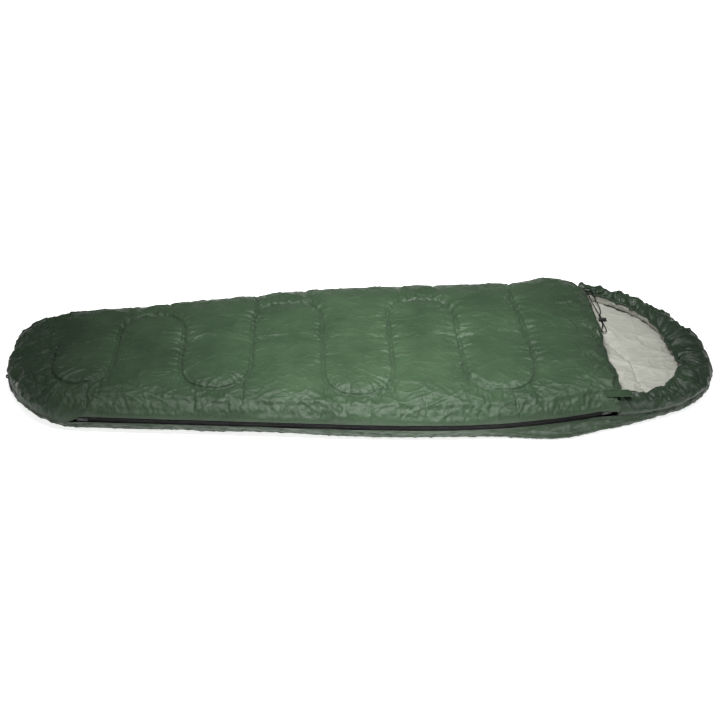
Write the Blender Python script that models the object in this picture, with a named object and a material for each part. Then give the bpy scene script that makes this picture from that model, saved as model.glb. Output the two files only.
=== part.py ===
"""Mummy sleeping bag lying flat, closed: two quilts, a puffy hood, a side zip and a hood drawcord.

Metres, +Z up. +X runs from the foot to the hood, the zip is on the -Y side, and the
origin is on the flat underside of the bottom quilt, half-way along the bag.
"""
import math

import bmesh
import bpy
from mathutils import Matrix, Vector

# ---------------------------------------------------------------- driving dimensions
# plan of the bag
FOOT_END_X = -1.105        # outside of the foot
HOOD_TIP_X = 1.100         # outside of the hood
FOOT_ROUND_X = -0.870      # where the foot starts to round off
NECK_X = 0.705             # where the hood's round outline starts
COLLAR_X = 0.762           # edge of the top quilt across the neck
FAR_EDGE = [(-1.105, 0.262), (-0.979, 0.275), (-0.650, 0.325), (-0.190, 0.402),
            (0.220, 0.425), (0.490, 0.428), (0.705, 0.413)]   # folded long edge (x, y)
SEAM_RISE_X = -0.852       # by here the top shell's edge has risen onto the zip
FOOT_POWER = 2.2           # superellipse powers of the two rounded ends
HOOD_POWER = 1.9
END_SHARE = 0.985          # both ends are cut flat at this share of their rounding
TIP_SHIFT = -0.075         # the tip of the hood lies a little towards the zip
FOOT_SHIFT = 0.070         # the end of the foot lies a little away from it
FOOT_SHIFT_POWER = 1.6

# heights
QUILT_THICK = 0.0475       # bottom quilt, floor to the top of its lining
CROWN_Z = 0.1375           # highest line of the closed bag
CEILING_Z = 0.1050         # underside of the top quilt's lining along the middle
CEILING_POWER = 1.5
TOP_EDGE_Z = 0.0500        # the same at the long edges
FLAT_FULLNESS = 0.45       # the underside is flat wherever the bag is fuller than this
COLLAR_ROUND = 0.050       # length over which the top quilt closes to its collar seam
COLLAR_SHARE = 0.22        # share of its thickness left at the seam

# sheet thicknesses and clearances
SHELL_T = 0.0015
LINING_T = 0.0012
GAP = 0.0003
FOLD_GAP = 0.0005
EDGE_COLUMN = 0.95         # insulation and lining stop at this share of the half width

# zip
ZIP_START = Vector((-0.8400, -0.2735, 0.0520))
ZIP_HEADING = -5.2         # degrees from +X, at the foot end
ZIP_STRAIGHT = 0.7438      # straight stretch, then two arcs
ZIP_BEND_LENGTH, ZIP_BEND_TURN = 0.300, 2.7
ZIP_NECK_RADIUS, ZIP_NECK_TURN = 1.731, 18.0
COIL_HALF = 0.0028         # height of one row of coils
COIL_DEPTH = 0.0024
COIL_SPLIT = 0.0009        # between the two rows
TAPE_HEIGHT = 0.0110
TAPE_T = 0.0007
EDGE_CLEAR = 0.0008        # between the lower tape and the bottom shell
BOTTOM_EDGE_Z = ZIP_START.z - COIL_HALF - TAPE_HEIGHT - EDGE_CLEAR
ZIP_STEP = 0.030           # length of one straight facet

# sliders and pulls
SLIDER_LENGTH = 0.0120
SLIDER_HEIGHT = 0.0120
SLIDER_PLATE = 0.0010
SLIDER_PLAY = 0.0005
SLIDER_WEB = 0.0004
SLIDER_LIP = 0.0010
ARCH_LENGTH, ARCH_RISE, ARCH_WIDTH, ARCH_BAR = 0.0090, 0.0034, 0.0020, 0.0010
PULL_LENGTH, PULL_HEIGHT, PULL_T = 0.0260, 0.0080, 0.0012
TOP_SLIDER_REST = 0.004    # from the zip's neck end to the middle of the slider
BOTTOM_SLIDER_REST = 0.014 # from the zip's foot end to the middle of the slider
FLAP_ZIP_GAP = 0.005       # from the top slider to the flap's top stop
STOP_LENGTH = 0.003

# fold of the opening corner
FOLD_END_Y = 0.250
HINGE_ABOVE_CROWN = 0.004

# hood rim
RIM_CLEAR = 0.004          # between the collar's drawcord casing and the start of the rim
RIM_WIDTHS = [(0.00, 0.036), (0.14, 0.052), (0.27, 0.074), (0.45, 0.105), (0.56, 0.100),
              (0.67, 0.078), (0.78, 0.060), (0.90, 0.050), (1.00, 0.036)]   # (share of the rim, width)
RIM_TOP_Z = 0.0990
RIM_DROPS = [(0.00, 0), (0.04, 0), (0.12, 0.019), (0.22, 0.018), (0.36, 0.004), (0.46, 0),
             (1.00, 0)]       # (share of the rim, how far its top lies below RIM_TOP_Z)
RIM_SECTION = [(0, 0), (0, 0.36), (0.12, 0.74), (0.36, 0.967), (0.68, 1), (1, 0.82)]   # shares of both
FACING_WIDTH, FACING_HEIGHT = (0.96, 0.86), 0.5   # the lining's way down, in shares of them
CHANNEL_R = 0.0050
CHANNEL_BORE_R = 0.0024
CHANNEL_SIDES = 8
CHANNEL_DROP = 0.0010      # middle of the casing below the rim's edge

# drawcord, cord lock
CORD_D = 0.0030
STRAND_X = 0.8110          # middle of the doubled stretch
STRAND_SPACING = 0.0036
LOCK_Y = 0.2240
LOCK_LENGTH, LOCK_D = 0.0180, 0.0130
LOCK_BORE_D, LOCK_FLOOR = 0.0082, 0.0012
LOCK_TRAVEL = 0.0020
CORD_PLAY = 0.0004
PLUNGER_PLAY = 0.0003
BUTTON_LENGTH, BUTTON_D = 0.0050, 0.0110
SPRING_WIRE, SPRING_TURNS = 0.0004, 3
PLUNGER_WALL = 0.0008      # behind the plunger's window
DRAWCORD_POINTS = [
    (0.7750, 0.3570, 0.0870), (0.7715, 0.3568, 0.0880), (0.7690, 0.3555, 0.0925),
    (0.7705, 0.3525, 0.0985), (0.7765, 0.3490, 0.1030), (0.7850, 0.3455, 0.1040),
    (0.7925, 0.3400, 0.1010), (0.7985, 0.3325, 0.0950), (0.8020, 0.3230, 0.0865),
    (0.8075, 0.3110, 0.0755), (0.8145, 0.2980, 0.0660), (0.8175, 0.2840, 0.0590),
    (0.8160, 0.2690, 0.0555), (0.8128, 0.2550, 0.0541), (0.8128, 0.2240, 0.0541),
    (0.8128, 0.1950, 0.0541), (0.8140, 0.1830, 0.0530), (0.8165, 0.1700, 0.0508),
    (0.8150, 0.1580, 0.0496), (0.8080, 0.1520, 0.0494), (0.8010, 0.1575, 0.0496),
    (0.8020, 0.1700, 0.0508), (0.8070, 0.1830, 0.0530), (0.8092, 0.1950, 0.0541),
    (0.8092, 0.2240, 0.0541), (0.8092, 0.2550, 0.0541), (0.8065, 0.2700, 0.0570),
    (0.8005, 0.2850, 0.0645), (0.7935, 0.2995, 0.0740), (0.7880, 0.3140, 0.0825),
    (0.7845, 0.3280, 0.0895), (0.7815, 0.3385, 0.0930), (0.7765, 0.3430, 0.0935),
    (0.7710, 0.3430, 0.0920), (0.7678, 0.3395, 0.0898), (0.7672, 0.3355, 0.0890)]
CORD_STEP = 0.0065

# small parts
TAB_LENGTH, TAB_WIDTH, TAB_T = 0.074, 0.034, 0.0020
TAB_ROOT_X, TAB_Y = 0.7220, -0.2790
PATCH_LENGTH, PATCH_WIDTH, PATCH_T = 0.022, 0.026, 0.0015
HANG_LOOP_REACH, HANG_LOOP_WIDTH, HANG_LOOP_RISE, HANG_LOOP_T = 0.013, 0.009, 0.0040, 0.0010

COLUMNS = [-1, -0.985, -EDGE_COLUMN, -0.85, -0.65, -0.35, 0,
           0.35, 0.65, 0.85, EDGE_COLUMN, 0.985, 1]
INNER = slice(2, 11)       # the columns within EDGE_COLUMN
FOOT_ROWS = [1.0, 0.93, 0.80, 0.62, 0.40, 0.0]          # shares of the foot's rounding
BODY_ROWS = [SEAM_RISE_X, -0.74, -0.60, -0.44, -0.28, -0.12, 0.04, 0.20, 0.34, 0.48, 0.60, 0.68]
COLLAR_ROWS = [0.0, 0.45, 0.80, 1.0]                    # shares of the collar's rounding
HOOD_ROWS = [0.18, 0.34, 0.50, 0.64, 0.77, 0.88, 0.95, 1.0]  # shares of the hood's length

COLOURS = {
    "shell": ((0.075, 0.125, 0.070, 1), 0.55, 0.0),
    "lining": ((0.38, 0.39, 0.34, 1), 0.70, 0.0),
    "filling": ((0.80, 0.80, 0.76, 1), 0.95, 0.0),
    "tape": ((0.015, 0.015, 0.016, 1), 0.80, 0.0),
    "coil": ((0.020, 0.020, 0.022, 1), 0.40, 0.0),
    "metal": ((0.060, 0.060, 0.062, 1), 0.35, 0.9),
    "cord": ((0.012, 0.012, 0.013, 1), 0.80, 0.0),
    "plastic": ((0.016, 0.016, 0.017, 1), 0.45, 0.0),
    "hook_loop": ((0.030, 0.040, 0.030, 1), 0.95, 0.0),
}


# ---------------------------------------------------------------- helpers
def clear_scene():
    for item in list(bpy.data.objects):
        bpy.data.objects.remove(item, do_unlink=True)


def material(name, surface):
    colour, roughness, metallic = COLOURS[surface]
    made = bpy.data.materials.new(name)
    made.use_nodes = True
    shader = made.node_tree.nodes["Principled BSDF"]
    shader.inputs["Base Color"].default_value = colour
    shader.inputs["Roughness"].default_value = roughness
    shader.inputs["Metallic"].default_value = metallic
    made.diffuse_color = colour
    return made


def link(name, mesh, surface, parent=None, smooth=True):
    item = bpy.data.objects.new(name, mesh)
    bpy.context.scene.collection.objects.link(item)
    mesh.materials.append(material(name, surface))
    if smooth:
        mesh.shade_smooth()
        mesh.set_sharp_from_angle(angle=math.radians(40))
    if parent is not None:
        mesh.transform(parent.matrix_world.inverted())
        item.parent = parent
    return item


def finish_mesh(shape):
    """Close a bmesh: outward normals, then one mesh."""
    bmesh.ops.recalc_face_normals(shape, faces=shape.faces)
    mesh = bpy.data.meshes.new("shape")
    shape.to_mesh(mesh)
    shape.free()
    return mesh


def pivot(name, place, parent=None):
    """An empty on a joint's axis, which the moving piece hangs from."""
    empty = bpy.data.objects.new(name, None)
    bpy.context.scene.collection.objects.link(empty)
    empty.matrix_world = Matrix.Translation(place)
    if parent is not None:
        empty.parent = parent
        empty.matrix_parent_inverse = parent.matrix_world.inverted()
    bpy.context.view_layer.update()
    return empty


def smooth_through(points, step):
    """Catmull-Rom curve through points, with a point about every step."""
    points = [Vector(p) for p in points]
    ends = [points[0] * 2 - points[1]] + points + [points[-1] * 2 - points[-2]]
    curve = []
    for a, b, c, d in zip(ends, ends[1:], ends[2:], ends[3:]):
        pieces = max(1, round((c - b).length / step))
        for k in range(pieces):
            t = k / pieces
            curve.append(0.5 * (2 * b + (c - a) * t + (2 * a - 5 * b + 4 * c - d) * t * t
                                + (3 * b - a - 3 * c + d) * t ** 3))
    return curve + [points[-1]]


def read_curve(points, x):
    """y of the smooth curve through (x, y) points, by cubic Hermite pieces."""
    last = len(points) - 1
    k = max(i for i in range(last) if points[i][0] <= x or i == 0)
    (x0, y0), (x1, y1) = points[k], points[k + 1]

    def slope(i):
        lo, hi = points[max(i - 1, 0)], points[min(i + 1, last)]
        return (hi[1] - lo[1]) / (hi[0] - lo[0])

    width = x1 - x0
    t = (x - x0) / width
    return ((2 * t ** 3 - 3 * t * t + 1) * y0 + (t ** 3 - 2 * t * t + t) * width * slope(k)
            + (3 * t * t - 2 * t ** 3) * y1 + (t ** 3 - t * t) * width * slope(k + 1))


# ---------------------------------------------------------------- zip line
class ZipLine:
    """The path of the zip: a straight stretch, a slight bend and the neck arc, all at one height."""

    def __init__(self):
        self.lengths = (ZIP_STRAIGHT, ZIP_BEND_LENGTH, ZIP_NECK_RADIUS * math.radians(ZIP_NECK_TURN))
        self.turns = (0.0, math.radians(ZIP_BEND_TURN), math.radians(ZIP_NECK_TURN))
        self.length = sum(self.lengths)
        self.neck_start = self.lengths[0] + self.lengths[1]

    def at(self, distance):
        """Point and heading angle at a distance from the foot end; straight on beyond the ends."""
        place, heading = ZIP_START.copy(), math.radians(ZIP_HEADING)
        left = distance
        for index, (length, turn) in enumerate(zip(self.lengths, self.turns)):
            step = left if index == 0 and left < 0 else min(left, length)
            angle = turn * step / length
            chord = step if angle == 0 else 2 * math.sin(angle / 2) * length / turn
            place = place + chord * Vector((math.cos(heading + angle / 2), math.sin(heading + angle / 2), 0))
            heading += angle
            left -= step
            if left <= 0:
                return place, heading
        return place + left * Vector((math.cos(heading), math.sin(heading), 0)), heading

    def frame(self, distance):
        """Point, direction along the zip, and horizontal direction out of the bag."""
        place, heading = self.at(distance)
        return place, Vector((math.cos(heading), math.sin(heading), 0)), Vector((math.sin(heading), -math.cos(heading), 0))

    def y_at(self, x):
        """y of the zip line at a given x."""
        low, high = -1.0, self.length + 1.0
        for _ in range(50):
            middle = (low + high) / 2
            if self.at(middle)[0].x < x:
                low = middle
            else:
                high = middle
        return self.at(low)[0].y

    def neck_centre(self):
        place, _, out = self.frame(self.neck_start)
        return place - out * ZIP_NECK_RADIUS


ZIP = ZipLine()


# ---------------------------------------------------------------- plan and heights
def foot_share(x):
    return min(max((FOOT_ROUND_X - x) / (FOOT_ROUND_X - FOOT_END_X), 0.0), 1.0)


def hood_share(x):
    return min(max((x - NECK_X) / (HOOD_TIP_X - NECK_X), 0.0), 1.0)


def plan(x):
    """Middle y and half width of the bag at x."""
    read_x = min(x, NECK_X)
    near, far = ZIP.y_at(read_x), read_curve(FAR_EDGE, read_x)
    foot = (1 - (foot_share(x) * END_SHARE) ** FOOT_POWER) ** (1 / FOOT_POWER)
    hood = (1 - (hood_share(x) * END_SHARE) ** HOOD_POWER) ** (1 / HOOD_POWER)
    middle = (near + far) / 2 + TIP_SHIFT * hood_share(x) ** 2 + FOOT_SHIFT * foot_share(x) ** FOOT_SHIFT_POWER
    return middle, (far - near) / 2 * foot * hood


def place(x, column):
    middle, half = plan(x)
    return x, middle + column * half


def fullness(x, column):
    """0 on the outline of the bag, rising quickly to 1 inside it."""
    across = max(0.0, 1 - abs(column) ** 2.6)
    foot = max(0.0, 1 - foot_share(x) ** 2.6)
    hood = max(0.0, 1 - hood_share(x) ** 8)
    return math.sqrt(across * foot * hood)


def underside(x, column):
    hollow = max(0.0, FLAT_FULLNESS - fullness(x, column)) / FLAT_FULLNESS
    return (BOTTOM_EDGE_Z - SHELL_T) * hollow ** 2


def tape_reach():
    """Height of the zip above and below its middle line."""
    return COIL_SPLIT / 2 + COIL_HALF + GAP + TAPE_HEIGHT


def raised_edge(x, column):
    """Lower edge of the top shell: on the bottom shell's edge, and on the tape where the zip runs."""
    on_edge = BOTTOM_EDGE_Z + GAP
    on_tape = ZIP_START.z + tape_reach() + GAP
    rise = min(max((x - FOOT_ROUND_X) / (SEAM_RISE_X - FOOT_ROUND_X), 0.0), 1.0)
    return on_edge + (on_tape - on_edge) * rise * max(0.0, -column) ** 3


def closing(x):
    """Share of the top quilt's thickness that is left as it closes to the collar seam."""
    share = min(max((x - (COLLAR_X - COLLAR_ROUND)) / COLLAR_ROUND, 0.0), 1.0)
    return COLLAR_SHARE + (1 - COLLAR_SHARE) * math.sqrt(1 - share ** 2.6)


def top_limits(x, column):
    """Heights of the top shell's underside and of the top lining's underside."""
    full = fullness(min(x, NECK_X), column)
    edge = raised_edge(x, column)
    outer = edge + (CROWN_Z - SHELL_T - edge) * full
    inner = TOP_EDGE_Z + (CEILING_Z - TOP_EDGE_Z) * full ** CEILING_POWER
    seam = (outer + inner) / 2
    return seam + (outer - seam) * closing(x), seam + (inner - seam) * closing(x)


def foot_x(share):
    return FOOT_ROUND_X - share * (FOOT_ROUND_X - FOOT_END_X)


def hood_x(share):
    return NECK_X + share * (HOOD_TIP_X - NECK_X)


def top_rows():
    return ([foot_x(s) for s in FOOT_ROWS] + BODY_ROWS
            + [COLLAR_X - COLLAR_ROUND * (1 - s) for s in COLLAR_ROWS])


def bottom_rows():
    return [foot_x(s) for s in FOOT_ROWS] + BODY_ROWS + [hood_x(s) for s in HOOD_ROWS]


# ---------------------------------------------------------------- solids
def slab(rows, columns, upper, lower):
    """A closed quilted layer between two heights given at every row and column."""
    shape = bmesh.new()
    top = [[shape.verts.new((*place(x, c), upper(x, c))) for c in columns] for x in rows]
    low = [[shape.verts.new((*place(x, c), lower(x, c))) for c in columns] for x in rows]

    def tile(a, b, c, d):
        shape.faces.new((a, b, c))
        shape.faces.new((a, c, d))

    for i in range(len(rows) - 1):
        for j in range(len(columns) - 1):
            tile(top[i][j], top[i + 1][j], top[i + 1][j + 1], top[i][j + 1])
            tile(low[i][j], low[i + 1][j], low[i + 1][j + 1], low[i][j + 1])
    for i in range(len(rows) - 1):
        tile(low[i][0], low[i + 1][0], top[i + 1][0], top[i][0])
        tile(low[i][-1], low[i + 1][-1], top[i + 1][-1], top[i][-1])
    for j in range(len(columns) - 1):
        tile(low[0][j], low[0][j + 1], top[0][j + 1], top[0][j])
        tile(low[-1][j], low[-1][j + 1], top[-1][j + 1], top[-1][j])
    return finish_mesh(shape)


def cut_at(mesh, point, normal):
    """Keep the side of a plane that the normal points to, and close the cut."""
    shape = bmesh.new()
    shape.from_mesh(mesh)
    bmesh.ops.bisect_plane(shape, geom=shape.verts[:] + shape.edges[:] + shape.faces[:], dist=1e-7,
                           plane_co=point, plane_no=normal, clear_inner=True)
    rim = [e for e in shape.edges if e.is_boundary]
    made = bmesh.ops.edgeloop_fill(shape, edges=rim)["faces"]
    bmesh.ops.triangulate(shape, faces=made)
    return finish_mesh(shape)


def sweep(frames, section, closed=False, cap=None):
    """Carry a closed section along frames (place, across, up); section points are (across, up).

    Faces that lie against each other run the same way in both sections, so that they split alike. cap lists
    the faces of both ends by point number, where the section is too narrow in places to be split by itself.
    """
    shape = bmesh.new()
    rings = [[shape.verts.new(where + across * a + up * b) for a, b in
              (section(k) if callable(section) else section)]
             for k, (where, across, up) in enumerate(frames)]
    pairs = list(zip(rings, rings[1:])) + ([(rings[-1], rings[0])] if closed else [])
    for here, there in pairs:
        for i in range(len(here)):
            j = (i + 1) % len(here)
            shape.faces.new((here[i], here[j], there[j]))
            shape.faces.new((here[i], there[j], there[i]))
    if cap:
        for ring in (rings[0], rings[-1]):
            for ids in cap:
                shape.faces.new([ring[i] for i in ids])
    elif not closed:
        caps = [shape.faces.new(rings[0]), shape.faces.new(rings[-1])]
        bmesh.ops.triangulate(shape, faces=caps)
    return finish_mesh(shape)


def tube(frames, radius, bore, sides):
    """A hollow casing along frames."""
    shape = bmesh.new()

    def ring(where, across, up, r):
        return [shape.verts.new(where + r * (math.cos(t) * across + math.sin(t) * up)) for t in
                (math.tau * (k + 0.5) / sides for k in range(sides))]

    outer = [ring(*f, radius) for f in frames]
    inner = [ring(*f, bore) for f in frames]
    for i in range(len(frames) - 1):
        for k in range(sides):
            n = (k + 1) % sides
            for wall in (outer, inner):
                shape.faces.new((wall[i][k], wall[i][n], wall[i + 1][n]))
                shape.faces.new((wall[i][k], wall[i + 1][n], wall[i + 1][k]))
    for i in (0, -1):
        for k in range(sides):
            n = (k + 1) % sides
            shape.faces.new((outer[i][k], outer[i][n], inner[i][n], inner[i][k]))
    return finish_mesh(shape)


def round_section(radius, sides):
    return [(radius * math.cos(math.tau * (k + 0.5) / sides), radius * math.sin(math.tau * (k + 0.5) / sides))
            for k in range(sides)]


def box_section(low_a, high_a, low_b, high_b):
    return [(low_a, low_b), (high_a, low_b), (high_a, high_b), (low_a, high_b)]


def strip(line, thickness):
    """A sheet's section: an open line and the same line moved to its right by the thickness."""
    line = [Vector(p) for p in line]
    moved = []
    for i, p in enumerate(line):
        before = (p - line[i - 1]).normalized() if i > 0 else None
        after = (line[i + 1] - p).normalized() if i < len(line) - 1 else None
        along = ((before or after) + (after or before)).normalized()
        normal = Vector((along.y, -along.x))
        stretch = 1 / max(0.5, normal.dot(Vector(((before or after).y, -(before or after).x))))
        moved.append(p + normal * thickness * stretch)
    return [tuple(p) for p in line], [tuple(p) for p in moved]


# ---------------------------------------------------------------- quilts
def fold_plane():
    """A point on the fold of the opening corner, and the horizontal normal into that corner."""
    start = ZIP.at(ZIP.neck_start)[0]
    end = Vector((COLLAR_X, FOLD_END_Y, 0))
    along = Vector((end.x - start.x, end.y - start.y, 0)).normalized()
    return start, along, Vector((along.y, -along.x, 0))


def bottom_quilt():
    rows = bottom_rows()
    inside = rows[2:-2]
    lining_low = QUILT_THICK - LINING_T
    shell = slab(rows, COLUMNS, lambda x, c: underside(x, c) + SHELL_T, underside)
    link("bottom_shell", shell, "shell")
    filling = slab(inside, COLUMNS[INNER], lambda x, c: lining_low - GAP,
                   lambda x, c: underside(x, c) + SHELL_T + GAP)
    link("bottom_insulation", filling, "filling")
    lining = slab(inside, COLUMNS[INNER], lambda x, c: QUILT_THICK, lambda x, c: lining_low)
    link("bottom_lining", lining, "lining")


def top_quilt(flap):
    rows = top_rows()
    inside = rows[2:]
    point, _, normal = fold_plane()

    layers = {
        "top_shell": (rows, COLUMNS, "shell",
                      lambda x, c: top_limits(x, c)[0] + SHELL_T, lambda x, c: top_limits(x, c)[0]),
        "top_insulation": (inside, COLUMNS[INNER], "filling",
                           lambda x, c: top_limits(x, c)[0] - GAP,
                           lambda x, c: top_limits(x, c)[1] + LINING_T + GAP),
        "top_lining": (inside, COLUMNS[INNER], "lining",
                       lambda x, c: top_limits(x, c)[1] + LINING_T, lambda x, c: top_limits(x, c)[1]),
    }
    for name, (lines, columns, surface, upper, lower) in layers.items():
        whole = slab(lines, columns, upper, lower)
        link(name + "_fixed", cut_at(whole, point, -normal), surface)
        link(name + "_flap", cut_at(whole, point + normal * FOLD_GAP, normal), surface, flap)


# ---------------------------------------------------------------- hood rim
def rim_path():
    """Outline of the hood from the near neck round the tip to the far neck: (place, inwards)."""
    start = COLLAR_X + 2 * CHANNEL_R + RIM_CLEAR
    rows = [start] + [hood_x(s) for s in HOOD_ROWS if hood_x(s) > start + 0.01]
    points = [Vector((*place(x, -1), 0)) for x in rows] + [Vector((*place(x, 1), 0)) for x in reversed(rows)]
    frames = []
    for i, p in enumerate(points):
        before = (p - points[i - 1]).normalized() if i > 0 else None
        after = (points[i + 1] - p).normalized() if i < len(points) - 1 else None
        along = ((before or after) + (after or before)).normalized()
        stretch = 1 / along.dot(before or after)
        frames.append((p, Vector((-along.y, along.x, 0)) * stretch))
    frames[0] = (points[0], Vector((0, 1, 0)))   # both ends are cut straight across the bag
    frames[-1] = (points[-1], Vector((0, -1, 0)))
    return frames


def read_table(table, share):
    """Value at a share between the steps of a (share, value) table."""
    k = max(i for i in range(len(table) - 1) if table[i][0] <= share)
    (s0, v0), (s1, v1) = table[k], table[k + 1]
    return v0 + (v1 - v0) * (share - s0) / (s1 - s0)


def rim_sizes(path):
    """Width and height of the rim at each point of its path."""
    run = [0.0]
    for (a, _), (b, _) in zip(path, path[1:]):
        run.append(run[-1] + (b - a).length)
    shares = [r / run[-1] for r in run]
    shares[-1] = 1.0
    return [(read_table(RIM_WIDTHS, s), RIM_TOP_Z - read_table(RIM_DROPS, s)) for s in shares]


def rim_line(width, top):
    """Outer face of the rim's section, from the bottom quilt's edge over the top to the opening."""
    low = BOTTOM_EDGE_Z + GAP
    return [(a * width, low + b * (top - low)) for a, b in RIM_SECTION]


def hood_rim():
    path = rim_path()
    count = len(path)
    frames = [(p, inward, Vector((0, 0, 1))) for p, inward in path]
    sizes = rim_sizes(path)
    floor = QUILT_THICK + GAP

    def shell(k):
        outer, inner = strip(rim_line(*sizes[k]), SHELL_T)
        return inner + outer[::-1]

    def facing(k):
        """The lining's line down from the opening edge to the bottom lining."""
        width, edge = rim_line(*sizes[k])[-1]
        high = edge - SHELL_T - 2 * GAP
        return [(width, high), (FACING_WIDTH[0] * width, floor + FACING_HEIGHT * (high - floor)),
                (FACING_WIDTH[1] * width, floor)]

    def lining(k):
        outer, inner = strip(facing(k), LINING_T)
        inner[-1] = (inner[-1][0], floor)
        inner[0] = (inner[0][0], outer[0][1] - LINING_T)
        return inner + outer[::-1]

    def filling(k):
        _, under = strip(rim_line(*sizes[k]), SHELL_T + GAP)
        _, behind = strip(facing(k), LINING_T + GAP)
        shoulder = [(min(a, behind[0][0]), b) for a, b in under[1:]]
        shoulder[-1] = (behind[0][0] - GAP, behind[0][1] - LINING_T)
        return [(under[0][0], floor)] + shoulder + [behind[1], (behind[2][0], floor)]

    link("hood_rim_shell", sweep(frames, shell), "shell")
    link("hood_rim_insulation", sweep(frames, filling), "filling")
    link("hood_rim_lining", sweep(frames, lining), "lining")
    reach = CHANNEL_R * math.cos(math.pi / CHANNEL_SIDES) + GAP
    channel = []
    for (p, inward, up), size in zip(frames, sizes):
        width, edge = rim_line(*size)[-1]
        channel.append((p + inward * (width + reach) + Vector((0, 0, edge - CHANNEL_DROP)), inward, up))
    link("hood_channel", tube(channel, CHANNEL_R, CHANNEL_BORE_R, CHANNEL_SIDES), "shell")
    link("hood_drawcord", sweep(channel, round_section(CORD_D / 2, 6)), "cord")


def collar(flap):
    """Drawcord casing and cord along the collar seam, parted at the fold."""
    point, along, normal = fold_plane()
    reach = CHANNEL_R * math.cos(math.pi / CHANNEL_SIDES) + GAP

    def seam(column):
        outer, inner = top_limits(COLLAR_X, column)
        x, y = place(COLLAR_X, column)
        return Vector((x + reach, y, (outer + SHELL_T + inner) / 2))

    lines = [seam(c / 20) for c in range(-18, 17, 2)]
    frames = []
    for i, p in enumerate(lines):
        along_seam = (lines[min(i + 1, len(lines) - 1)] - lines[max(i - 1, 0)]).normalized()
        frames.append((p, Vector((1, 0, 0)), Vector((0, -along_seam.z, along_seam.y))))
    casing = tube(frames, CHANNEL_R, CHANNEL_BORE_R, CHANNEL_SIDES)
    cord = sweep(frames, round_section(CORD_D / 2, 6))
    for name, mesh, surface in (("collar_channel", casing, "shell"), ("collar_drawcord", cord, "cord")):
        link(name + "_fixed", cut_tube(mesh, point, -normal), surface)
        link(name + "_flap", cut_tube(mesh, point + normal * FOLD_GAP, normal), surface, flap)


def cut_tube(mesh, point, normal):
    """Like cut_at, for a mesh whose cut may be one outline or an outline with a hole."""
    shape = bmesh.new()
    shape.from_mesh(mesh)
    bmesh.ops.bisect_plane(shape, geom=shape.verts[:] + shape.edges[:] + shape.faces[:], dist=1e-7,
                           plane_co=point, plane_no=normal, clear_inner=True)
    rim = [e for e in shape.edges if e.is_boundary]
    loops = edge_loops(rim)
    if len(loops) == 1:
        made = bmesh.ops.edgeloop_fill(shape, edges=rim)["faces"]
    else:
        made = bmesh.ops.bridge_loops(shape, edges=rim)["faces"]
    bmesh.ops.triangulate(shape, faces=made)
    return finish_mesh(shape)


def edge_loops(edges):
    left, loops = set(edges), []
    while left:
        loop, waiting = [], [left.pop()]
        while waiting:
            edge = waiting.pop()
            loop.append(edge)
            for vert in edge.verts:
                for other in vert.link_edges:
                    if other in left:
                        left.remove(other)
                        waiting.append(other)
        loops.append(loop)
    return loops


# ---------------------------------------------------------------- zip
def zip_frames(start, end, shift=0.0):
    pieces = max(1, math.ceil((end - start) / ZIP_STEP))
    frames = []
    for k in range(pieces + 1):
        where, _, out = ZIP.frame(start + (end - start) * k / pieces)
        frames.append((where + Vector((0, 0, shift)), out, Vector((0, 0, 1))))
    return frames


def flap_zip_range():
    """Where the flap's half of the zip starts and ends, as distances along the zip."""
    start = ZIP.neck_start + 0.004
    end = top_slider_place() - SLIDER_LENGTH / 2 - FLAP_ZIP_GAP
    return start, end


def top_slider_place():
    return ZIP.length - TOP_SLIDER_REST


def zip_row(name, start, end, side, parent=None):
    """One tape with its row of coils; side is -1 below the middle line and +1 above it."""
    split = COIL_SPLIT / 2
    coil = sorted((side * split, side * (split + COIL_HALF)))
    tape = sorted((side * (split + COIL_HALF + GAP), side * tape_reach()))
    frames = zip_frames(start, end)
    coil_mesh = sweep(frames, box_section(-COIL_DEPTH / 2, COIL_DEPTH / 2, *coil))
    tape_mesh = sweep(frames, box_section(-TAPE_T / 2, TAPE_T / 2, *tape))
    link("zip_coil_" + name, coil_mesh, "coil", parent)
    link("zip_tape_" + name, tape_mesh, "tape", parent)


def zip_halves(flap):
    start, end = flap_zip_range()
    neck_end = ZIP.length + SLIDER_LENGTH
    zip_row("lower", 0.0, neck_end, -1)
    zip_row("upper_fixed", 0.0, start - 0.0045, 1)
    zip_row("upper_flap", start, end, 1, flap)
    stop_half = COIL_DEPTH / 2 + GAP + 0.0006
    reach = COIL_SPLIT / 2 + COIL_HALF
    foot = sweep(zip_frames(-GAP - STOP_LENGTH, -GAP), box_section(-stop_half, stop_half, -reach, reach))
    link("zip_bottom_stop", foot, "metal")
    upper = sweep(zip_frames(end + GAP, end + GAP + STOP_LENGTH),
                  box_section(-stop_half, stop_half, COIL_SPLIT / 2, reach))
    link("zip_top_stop_upper", upper, "metal", flap)
    lower = sweep(zip_frames(neck_end + GAP, neck_end + GAP + STOP_LENGTH),
                  box_section(-stop_half, stop_half, -reach, -COIL_SPLIT / 2))
    link("zip_top_stop_lower", lower, "metal")


def join(shape_meshes):
    """Boolean union of closed meshes into the first."""
    base = bpy.data.objects.new("join_base", shape_meshes[0])
    bpy.context.scene.collection.objects.link(base)
    for mesh in shape_meshes[1:]:
        base = combine(base, mesh, "UNION")
    mesh = base.data
    bpy.data.objects.remove(base)
    return mesh


def combine(base, mesh, operation):
    tool = bpy.data.objects.new("tool", mesh)
    bpy.context.scene.collection.objects.link(tool)
    step = base.modifiers.new("step", "BOOLEAN")
    step.operation, step.solver, step.object = operation, "EXACT", tool
    bpy.context.view_layer.update()
    made = bpy.data.meshes.new_from_object(base.evaluated_get(bpy.context.evaluated_depsgraph_get()))
    base.modifiers.clear()
    base.data = made
    bpy.data.objects.remove(tool)
    return base


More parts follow.
